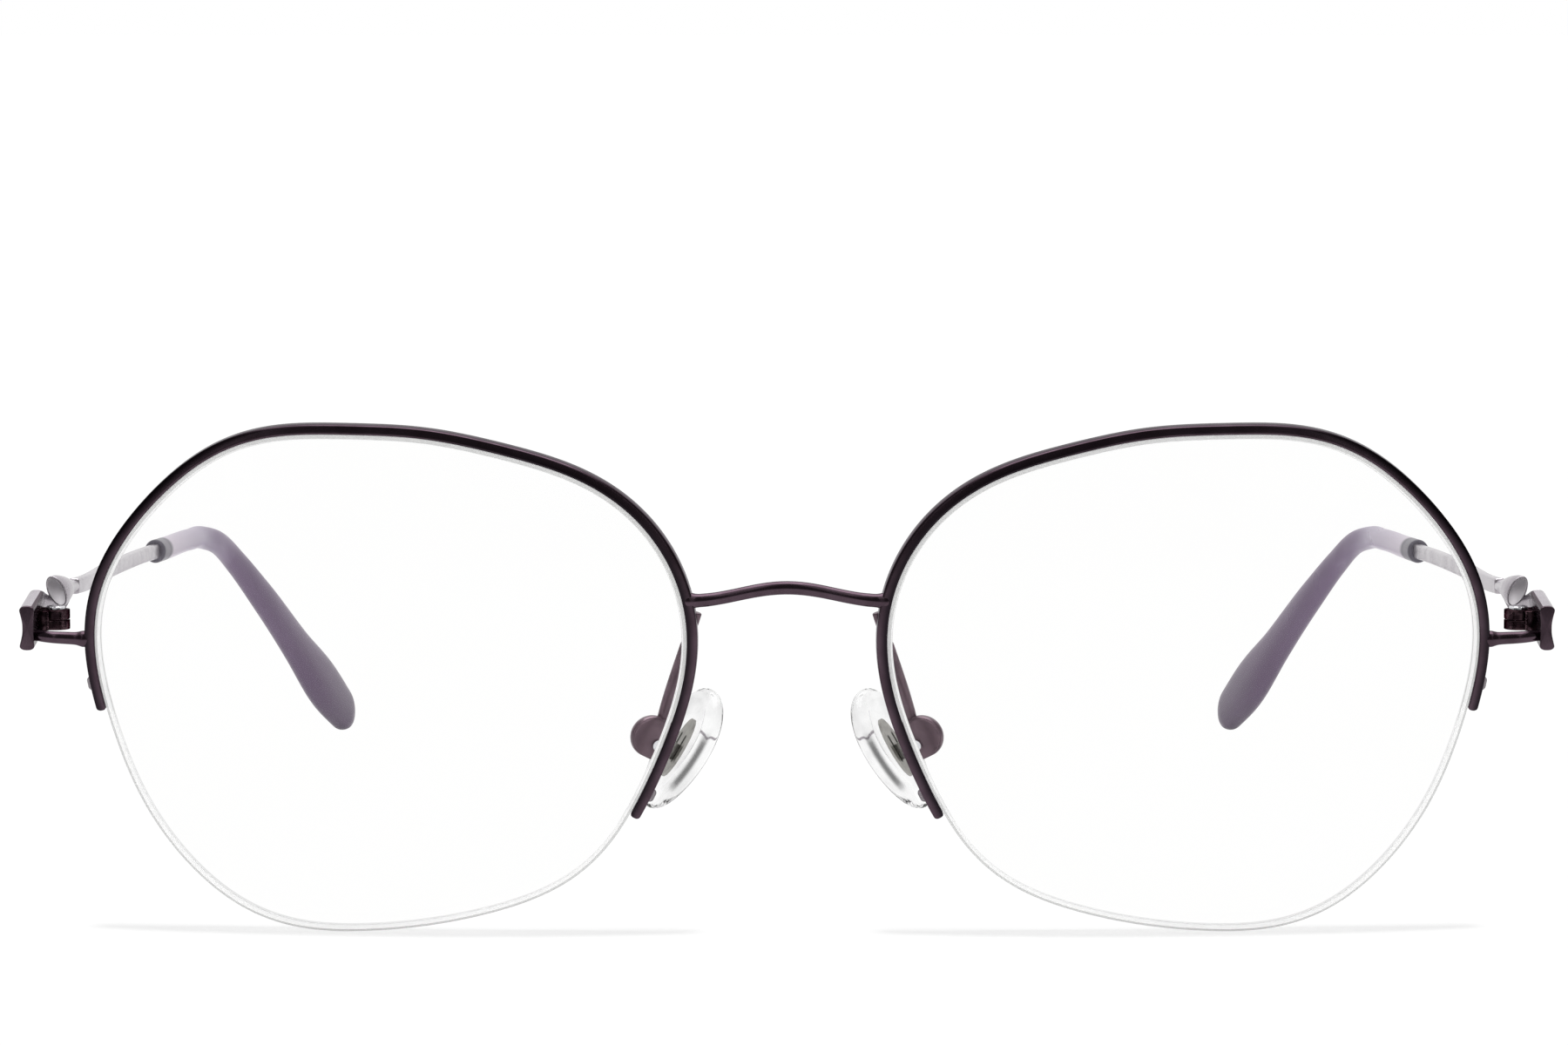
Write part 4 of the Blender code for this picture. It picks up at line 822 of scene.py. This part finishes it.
def temple_rings(share, width, height, tilt=0.0, square=2.0, sides=40):
    """Squared ovals of a width and a height, square to the temple's line, their tops tilted outward."""
    def column(values):
        return np.broadcast_to(values, len(share))[:, None]

    step = 0.004
    ahead = unit(temple_line(np.minimum(share + step, 1.0)) - temple_line(np.maximum(share - step, 0.0)))
    sideways = unit(np.array((1.0, 0.0, 0.0)) - ahead[:, :1] * ahead)
    above = np.cross(sideways, ahead)
    tilt = column(tilt)
    across = np.cos(tilt) * sideways - np.sin(tilt) * above
    along = np.cos(tilt) * above + np.sin(tilt) * sideways
    reach, rise = squared_oval(round_turns(sides), column(square))
    reach, rise = reach * column(width) / 2, rise * column(height) / 2
    return temple_line(share)[:, None] + reach[..., None] * across[:, None] + rise[..., None] * along[:, None]


def horn_rings(along, narrow, low):
    """Sections of the horn at shares of its length, drawn in by a wall and by a share."""
    tall, wide, tilt = smooth(HORN_SHARES, along).T
    return temple_rings((HORN_START + along * HORN_LENGTH) / TEMPLE_REACH, (HORN_WIDTH * wide - low) * narrow,
                        (HORN_HEIGHT * tall - low) * narrow, HORN_TILT * tilt)


# The horn from the bottom of its cup out over the lip and back to the neck, then the shaft.
swing = np.linspace(0.04, 0.5, 14) * math.pi
over = np.linspace(0.0, 1.0, 9)[1:] * math.pi
cup = HORN_CUP_DEPTH / HORN_LENGTH
neck_share = (HORN_START + HORN_LENGTH) / TEMPLE_REACH
neck = neck_share + NECK_STEP_SHARE * np.array((0.0, 0.35, 1.0, 1.6))
shaft = np.linspace(neck[-1] + NECK_STEP_SHARE, TIP_MOUTH_SHARE + NECK_STEP_SHARE, 70)
shaft = joined(neck, shaft)
swell = np.clip((shaft - neck_share) / (neck[-1] - neck_share), 0.0, 1.0) ** 0.5
horn_and_shaft = joined(
    horn_rings(cup * np.cos(swing), np.sin(swing), 2 * HORN_LIP),
    horn_rings(-HORN_LIP / 2 / HORN_LENGTH * np.sin(over), 1.0, HORN_LIP * (1 + np.cos(over))),
    horn_rings(np.linspace(0.0, 1.0, 46)[1:], 1.0, 0.0),
    temple_rings(shaft, NECK_WIDTH + (SHAFT_WIDTH - NECK_WIDTH) * swell,
                 NECK_HEIGHT + (SHAFT_HEIGHT - NECK_HEIGHT) * swell, 0.0, 2.0 + SHAFT_SQUARE * swell))
along = np.linspace(0.0, 1.0, 40)
inset, foot_rise, top_drop = smooth(WEB_SHARES, along).T
web = bone(
    plate_middle - WEB_INSET * inset, temple_face + WEB_LENGTH * along,
    plate_low + PLATE_CLIMB_FOOT + WEB_FOOT_RISE * foot_rise,
    plate_high + PLATE_CLIMB_TOP - WEB_TOP_DROP * top_drop,
    WEB_THINNING / 2 * inset, PLATE_LEAN * (1 - inset))


# The temple tips. Violet see-through plastic sleeves over the rods' ends, bent down behind the
# ears and swelling to a rounded paddle; moulded, then pushed on hot over the rods' slim cores.
CORE_WIDTH = 0.80 * MM
CORE_HEIGHT = 1.10 * MM
CORE_SHORT_SHARE = 0.005
TIP_BORE_END_SHARE = 0.945
TIP_BORE_FIT = 0.10 * MM
TIP_MOUTH_HEIGHT = 2.45 * MM
TIP_MOUTH_WIDTH = 2.25 * MM
TIP_LIP_SHARE = 0.002
TIP_LIP_DRAWN = 0.14
TIP_PADDLE_HEIGHT = 7.2 * MM
TIP_PADDLE_WIDTH = 3.3 * MM
TIP_SWELL_SHARES = (
    (0.505, 0.0), (0.70, 0.0), (0.777, 0.10), (0.824, 0.27), (0.896, 0.51), (0.948, 0.83), (1.0, 0.48))
TIP_ROUND = 2.6 * MM
TIP_SIDES = 48
SHADES_START = 5.0 * MM
SHADES_LENGTH = 64.1 * MM
TIP_SHADES = (
    (0.0, (0.09, 0.085, 0.10)), (0.050, (0.11, 0.10, 0.12)), (0.070, (0.05, 0.045, 0.06)),
    (0.092, (0.36, 0.32, 0.37)), (0.36, (0.26, 0.23, 0.29)), (0.50, (0.123, 0.092, 0.141)),
    (0.78, (0.100, 0.073, 0.113)), (1.0, (0.100, 0.083, 0.110)),
)


def tip_sections(share, blunt):
    """Width and height of the tip: the mouth's, swollen to the paddle's along the table."""
    swelling = smooth(TIP_SWELL_SHARES, share)[:, 0]
    width = TIP_MOUTH_WIDTH + (TIP_PADDLE_WIDTH - TIP_MOUTH_WIDTH) * swelling
    height = TIP_MOUTH_HEIGHT + (TIP_PADDLE_HEIGHT - TIP_MOUTH_HEIGHT) * swelling
    return temple_rings(share, width * blunt, height * blunt, 0.0, 2.0 + 0.5 * swelling, TIP_SIDES)


# The round end takes a quarter circle's share of the line, and the tail settles onto the table.
tail = (1 - TEMPLE_LINE_SHARES[-2][0]) * TEMPLE_REACH
drop = (TEMPLE_LINE_SHARES[-2][2] - TEMPLE_LINE_SHARES[-1][2]) * TEMPLE_HEIGHT
round_share = TIP_ROUND / math.hypot(tail, drop) * tail / TEMPLE_REACH
end_turn = np.linspace(0.04, 1.0, 16) * math.pi / 2
tip_body = np.linspace(1 - round_share, TIP_MOUTH_SHARE + TIP_LIP_SHARE, 110)[1:]
outer_share = joined(1 - (1 - np.cos(end_turn)) * round_share, tip_body)
outer_blunt = joined(np.sin(end_turn), np.ones(len(tip_body)))
for attempt in range(8):
    settle -= tip_sections(outer_share, outer_blunt)[..., 2].min()
mouth = np.linspace(0.0, 1.0, 7)[1:] * math.pi / 2
mouth_lip = TIP_MOUTH_SHARE + TIP_LIP_SHARE * (1 - np.sin(mouth))
bore = np.linspace(TIP_MOUTH_SHARE, TIP_BORE_END_SHARE, 60)
tip_rings = joined(
    tip_sections(outer_share, outer_blunt), tip_sections(mouth_lip, 1 - TIP_LIP_DRAWN * (1 - np.cos(mouth))),
    temple_rings(bore, CORE_WIDTH + 2 * TIP_BORE_FIT, CORE_HEIGHT + 2 * TIP_BORE_FIT, sides=TIP_SIDES))


def tip_pattern(place):
    """Violet plastic: a dark collar, then lilac, deepening round the bend to purple, with soft streaks."""
    streaks = place.stretched((3.0, 0.5, 1.0)).noise(180.0, 3.0)
    bent = (place.axis("Y") - SHADES_START) * (1 / SHADES_LENGTH)
    run = bent + (streaks - 0.5) * bent.spread(0.15, 0.4, 0.0, 0.16)
    colours = run.node("ValToRGB", {"Fac": run})
    ramp = colours.socket.node.color_ramp
    while len(ramp.elements) < len(TIP_SHADES):
        ramp.elements.new(0.5)
    for stop, (position, colour) in zip(ramp.elements, TIP_SHADES):
        stop.position = position
        stop.color = (*colour, 1.0)
    return {
        "Base Color": colours,
        # The same colours glow: painted light for light passing through the plastic.
        "Emission Color": colours,
        "Roughness": streaks * 0.10 + 0.24,
        "Normal": place.noise(700.0).bump(0.05, 0.00005),
    }


# The tip's colours also glow at a third of their strength: painted light for light passing through the
# plastic.
violet = finish(
    "violet_plastic", {"IOR": 1.49, "Specular IOR Level": 0.12, "Emission Strength": 0.35}, tip_pattern)
core = np.linspace(TIP_MOUTH_SHARE + 2 * NECK_STEP_SHARE, TIP_BORE_END_SHARE - CORE_SHORT_SHARE, 60)
rod = joined(horn_and_shaft, temple_rings(core, CORE_WIDTH, CORE_HEIGHT))
# The horn's cup is painted pale, dull and barely metallic: a painted reflection of the pale light before it.
cup_painted_light = np.zeros((len(rod), 1))
cup_painted_light[:len(swing) + 2] = 1.0
build_pair("temple_rod", rod, mauve, "temple_arm", "temple", {"cup_painted_light": cup_painted_light})
build_pair("temple_web", web, mauve, "temple_arm")
build_pair("tip", tip_rings, violet, "temple_arm", "temple_tip")


# The pad arms. A flat wire, soldered behind the rim, runs down to a round box that holds the
# pad's lug on a small screw; box and wire are plated with the frame.
LUG_THICKNESS = 0.60 * MM
BOX_RADIUS = 1.98 * MM
BOX_OFFSET = 0.78 * MM
BOX_RISE = 0.42 * MM
BOX_CHEEK = 0.40 * MM
BOX_ROUND_SHARES = ((-1.0, 0.94), (-0.6, 1.0), (0.3, 0.94), (1.0, 0.74))
BOX_FIT = 0.10 * MM
BOX_MOUTH = 0.65 * MM
BOX_ROUND = 0.14 * MM
BOX_RINGS = 18
STRAP_WIDTH = 1.06 * MM
STRAP_THICKNESS = 0.80 * MM
STRAP_SQUARE = 2.6
STRAP_ROUND = 0.12 * MM
STRAP_ANGLE = math.radians(166.5)
STRAP_INWARD = 0.5 * MM
STRAP_STANDOFF = 3.2 * MM
STRAP_LEAD = 3.0 * MM
PAD_SPREAD = 24.7 * MM
PAD_DROP = 5.65 * MM
PAD_SETBACK = 3.6 * MM
PAD_ANGLE = math.radians(30.0)
PAD_SPLAY = math.radians(25.0)
PAD_SEAT_ANGLE = math.radians(190.0)
PAD_LONG = np.array((-math.sin(PAD_ANGLE), 0.0, math.cos(PAD_ANGLE)))
PAD_FLAT = np.array((math.cos(PAD_ANGLE), 0.0, math.sin(PAD_ANGLE)))
PAD_WIDE = np.array((0.0, math.cos(PAD_SPLAY), 0.0)) + math.sin(PAD_SPLAY) * PAD_FLAT
PAD_OUT = np.array((0.0, -math.sin(PAD_SPLAY), 0.0)) + math.cos(PAD_SPLAY) * PAD_FLAT
seat_depth = edge(PAD_SEAT_ANGLE, LENS_FIT, rim_rear)[1]
pad_screw = np.array((PAD_SPREAD / 2, seat_depth + PAD_SETBACK, CENTRE[2] - PAD_DROP))
half_box = LUG_THICKNESS / 2 + BOX_FIT + BOX_CHEEK


def near_pad(out, up, back):
    """Points by the pad screw: out from the nose, up along the pad and back across it."""
    out, up, back = np.broadcast_arrays(out, up, back)
    return pad_screw + out[..., None] * PAD_OUT + up[..., None] * PAD_LONG + back[..., None] * PAD_WIDE


# The box is a half round with a square mouth, its faces drawn in along the table.
turn = np.linspace(-0.5, 0.5, 40) * math.pi
back_share = np.linspace(-1.0, 1.0, BOX_RINGS)
box_share = smooth(BOX_ROUND_SHARES, back_share)
box_mouth = np.full((BOX_RINGS, 1), -BOX_MOUTH)
box_rings = with_ends(near_pad(
    np.concatenate((box_mouth, BOX_OFFSET + BOX_RADIUS * box_share * np.cos(turn), box_mouth), 1),
    BOX_RISE + BOX_RADIUS * box_share * joined((-1.0,), np.sin(turn), (1.0,)),
    half_box * back_share[:, None]), BOX_ROUND)

# The strap follows a cubic curve from the rim to the box, and turns from the rim's back to the pad's.
strap_depth = rim_rear + SOLDER_GAP + STRAP_THICKNESS / 2
leave = edge(STRAP_ANGLE, bar_middle + STRAP_INWARD, strap_depth)
enter = near_pad(BOX_OFFSET - BOX_CHEEK, BOX_RISE + BOX_RADIUS - BOX_CHEEK, 0.0)
slant = unit(enter - leave)
first = leave + STRAP_STANDOFF * unit(slant - (slant @ BACK) * BACK)
last = enter - STRAP_LEAD * unit(slant - (slant @ PAD_WIDE) * PAD_WIDE)
t = np.linspace(0.0, 1.0, 50)[:, None]
strap_path = (1 - t) * pulled(leave, first, last, t) + t * pulled(first, last, enter, t)
ahead = unit(pulled(first - leave, last - first, enter - last, t))
across = unit(np.cross(ahead, (1 - t) * BACK + t * PAD_WIDE))
thickness_and_pad_shade = np.cross(across, ahead)
reach, rise = squared_oval(round_turns(32)[None, :, None], STRAP_SQUARE)
strap_rings = with_ends(
    strap_path[:, None] + STRAP_WIDTH / 2 * reach * across[:, None]
    + STRAP_THICKNESS / 2 * rise * thickness_and_pad_shade[:, None], STRAP_ROUND)
# The box and wire take a lighter, duller copy of the plum plating: painted light where they show paler than
# the rim.
arm_plating_painted_light = finish(
    "pad_arm_plating", {"Metallic": 0.5, "IOR": 1.45},
    lambda place: cloudy(place, 500.0, (0.3, 0.7), ((0.165, 0.110, 0.135, 1.0), (0.110, 0.072, 0.090, 1.0)),
                         0.15, 0.05, 0.22, 0.20))
build_pair("pad_box", box_rings, arm_plating_painted_light, "front", "pad_arm")
build_pair("pad_wire", strap_rings, arm_plating_painted_light, "front")


# The nose pads. Clear soft pads, domed towards the nose and fuller above, moulded round a
# pressed metal insert whose drilled lug hangs on the box's screw.
PAD_RISE = 0.47 * MM
PAD_HALF_LENGTH = 6.2 * MM
PAD_HALF_WIDTH = 4.1 * MM
PAD_THICKNESS = 2.4 * MM
PAD_TAPER_SHARE = 0.18
PAD_DOME_SHARES = (
    (0.0, 0.84, 0.50), (1.0, 1.0, 0.22), (2.0, 0.97, -0.16), (3.0, 0.80, -0.40), (4.0, 0.46, -0.50))
PAD_CROWN_SHARE = 0.045
PAD_SIDES = 64
PAD_SHADE_RING, PAD_SHADE_RINGS = 15.5, 4.0
PAD_SHADE_TURN, PAD_SHADE_TURNS = 47.0, 5.5
LUG_REACH = 3.10 * MM
SLOT_PLACE = 0.5 * MM
pad_centre = pad_screw - LUG_REACH * PAD_OUT + PAD_RISE * PAD_LONG


def pad_rings(share, level):
    """Ovals of a share of the pad's size, fuller above by the taper, each at its level towards the arm."""
    turn = round_turns(PAD_SIDES)
    long = (PAD_HALF_LENGTH * share)[:, None] * np.cos(turn)
    wide = (PAD_HALF_WIDTH * share)[:, None] * np.sin(turn) * (1 + PAD_TAPER_SHARE * np.cos(turn))
    return (pad_centre + long[..., None] * PAD_LONG + wide[..., None] * PAD_WIDE
            + level[:, None, None] * np.ones((1, PAD_SIDES, 1)) * PAD_OUT)


def insert_pattern(place):
    """Dull pressed steel with two slots beside the lug painted near black, a painted shade, found by the
    distances across and along the pad. The right insert mirrors the left, so X loses its sign."""
    x = place.axis("X")
    x = x.sum_of("ABSOLUTE", x, 0.0) - pad_centre[0]
    y, z = place.axis("Y") - pad_centre[1], place.axis("Z") - pad_centre[2]
    along = (x * PAD_LONG[0] + y * PAD_LONG[1] + z * PAD_LONG[2]) * (1 / MM)
    across = (x * PAD_WIDE[0] + y * PAD_WIDE[1] + z * PAD_WIDE[2]) * (1 / MM)
    beside = across * across - (SLOT_PLACE / MM) ** 2
    slot_painted_shade = (beside * beside).spread(0.01, 0.03, 1.0, 0.0) * (along * along).spread(1.6, 2.4, 1.0, 0.0)
    even = place.noise(1800.0, 4.0).tint((0.50, 0.49, 0.46, 1.0), (0.30, 0.29, 0.28, 1.0))
    return {
        "Base Color": slot_painted_shade.tint(even, (0.06, 0.06, 0.055, 1.0)),
        "Roughness": place.noise(5000.0) * 0.25 + 0.22,
        "Normal": place.noise(3000.0, 4.0).bump(0.3, 0.00004),
    }


# The clear silicone is tinted near black along a marked bar on its side: painted shade seen through the pad's
# edge.
clear_silicone = finish(
    "clear_silicone", {"Transmission Weight": 1.0, "IOR": 1.26},
    lambda place: {
        "Base Color": place.mark("thickness_and_pad_shade").tint(
            place.noise(260.0, 4.0).spread(0.45, 0.75).tint(grey(0.99), grey(0.74)), grey(0.045)),
        "Roughness": place.noise(800.0) * 0.05 + 0.02,
        "Normal": place.noise(400.0, 1.0).bump(0.05, 0.00005),
    })
insert_steel = finish("insert_steel", {"Metallic": 1.0}, insert_pattern)
# From the middle of the flat back over the dome. The mark is a bar along the side that is seen through
# its edge, painted near black: a painted shade.
dome = smooth(PAD_DOME_SHARES, np.linspace(0.0, 4.0, 40))
nose_size, nose_level = PAD_DOME_SHARES[-1][1:]
rest = np.linspace(1.0, 0.1, 6)[1:]
dome = joined(dome, np.stack((nose_size * rest, nose_level - PAD_CROWN_SHARE * (1 - rest ** 2)), 1))
pad_skin = joined(
    pad_rings(np.linspace(0.05, 0.80, 8), np.full(8, PAD_THICKNESS / 2)),
    pad_rings(dome[:, 0], PAD_THICKNESS * dome[:, 1]))
ring_place = np.arange(len(pad_skin))[:, None]
turn_place = np.arange(PAD_SIDES)[None]
thickness_and_pad_shade = np.exp(-((ring_place - PAD_SHADE_RING) / PAD_SHADE_RINGS) ** 4) * np.exp(
    -((turn_place - PAD_SHADE_TURN) / PAD_SHADE_TURNS) ** 10)
for pad in build_pair(
        "soft_pad", pad_skin, clear_silicone, "pad", "nose_pad", {"thickness_and_pad_shade": thickness_and_pad_shade}):
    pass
for label, side in SIDES:
    frame["nodes"][f"{label}_pad_core"].data.materials[0] = insert_steel


# The table and the light. A white table under soft studio lamps, with cards in front and at the sides
# that the plating mirrors, and the camera in front, a little above.
def straight_rays(start):
    """One for camera, mirrored and passed rays, and nothing for scattered ones."""
    kinds = ("Is Camera Ray", "Is Glossy Ray", "Is Transmission Ray")
    seen, mirrored, passed = (start.node("LightPath", {}, kind) for kind in kinds)
    return seen + mirrored + passed


# Part of what the camera sees of the table is its own even white, and the rest takes the lamps.
white_table = bpy.data.materials.new("white_table")
white_table.use_nodes = True
tree = white_table.node_tree
start = Wire(tree, None)
plain = start.node("BsdfDiffuse", {"Color": grey(0.98)})
white = start.node("Emission", {"Color": grey(1.0), "Strength": 1.0})
mixed = start.node("MixShader", {0: straight_rays(start) * 0.68, 1: plain, 2: white})
tree.links.new(mixed.socket, tree.nodes["Material Output"].inputs["Surface"])
ground = bpy.data.meshes.new("table")
ground.from_pydata(
    [(-4.0, -4.0, 0.0), (4.0, -4.0, 0.0), (4.0, 4.0, 0.0), (-4.0, 4.0, 0.0)], [], [(0, 1, 2, 3)])
ground.materials.append(white_table)
put("table", ground)

world = bpy.data.worlds.new("studio")
bpy.context.scene.world = world
world.use_nodes = True
sky = world.node_tree.nodes["Background"].inputs
level = straight_rays(Wire(world.node_tree, None)).spread(0.0, 1.0, 0.60, 1.0)
world.node_tree.links.new(level.socket, sky["Strength"])
sky["Color"].default_value = grey(1.0)

glow = bpy.data.lights.new("overhead_glow", "AREA")
glow.shape = "SQUARE"
glow.size = 0.7
glow.energy = 4.5
overhead = put("overhead_glow", glow)
overhead.location = (0.0, 0.20, 0.75)
overhead.visible_camera = overhead.visible_diffuse = overhead.visible_transmission = False
# The sun shines along the tilted front, so that each lens throws a thin line of shadow.
sun = bpy.data.lights.new("overhead_sun", "SUN")
sun.energy = 1.7
sun.angle = math.radians(6.0)
falling = put("overhead_sun", sun)
falling.rotation_euler = (FRONT_TILT, 0.0, 0.0)
falling.visible_glossy = falling.visible_transmission = False

cards = bpy.data.meshes.new("studio_cards")
cards.from_pydata([
    (-0.40, -0.12, 0.001), (0.40, -0.12, 0.001), (0.40, -0.9, 0.001), (-0.40, -0.9, 0.001),
    (0.40, -0.9, 2.6), (-0.40, -0.9, 2.6), (-0.45, -0.9, 0.001), (-0.45, 0.3, 0.001),
    (-0.45, 0.3, 0.7), (-0.45, -0.9, 0.7), (0.45, -0.9, 0.001), (0.45, 0.3, 0.001),
    (0.45, 0.3, 0.7), (0.45, -0.9, 0.7),
], [], [(0, 1, 2, 3), (3, 2, 4, 5), (6, 7, 8, 9), (10, 11, 12, 13)])
card_finish = bpy.data.materials.new("grey_cards")
card_finish.use_nodes = True
tree = card_finish.node_tree
place = Wire(tree, None).node("TexCoord", {}, "Object")
beside, ahead = place.axis("X"), place.axis("Y")
lit = ahead.spread(-0.45, -0.12) * (1.0 - (beside * beside).spread(0.17, 0.19))
card_glow = place.node("Emission", {"Color": lit.tint(grey(0.12), grey(1.0))})
tree.links.new(card_glow.socket, tree.nodes["Material Output"].inputs["Surface"])
cards.materials.append(card_finish)
studio_cards = put("studio_cards", cards)
studio_cards.visible_camera = studio_cards.visible_diffuse = studio_cards.visible_transmission = False
for piece in bpy.data.objects:
    if piece.type == "MESH" and not piece.name.endswith(("rim_bar", "clear_lens", "_cord", "_tip", "table")):
        piece.visible_shadow = False

lens_data = bpy.data.cameras.new("camera")
lens_data.lens = 126.5
lens_data.sensor_width = 36.0
camera = put("camera", lens_data)
camera.location = (-0.00028, -0.56795, 0.0933)
camera.rotation_euler = (math.radians(83.783), 0.0, 0.0)
bpy.context.scene.camera = camera
bpy.context.scene.view_settings.view_transform = "Standard"
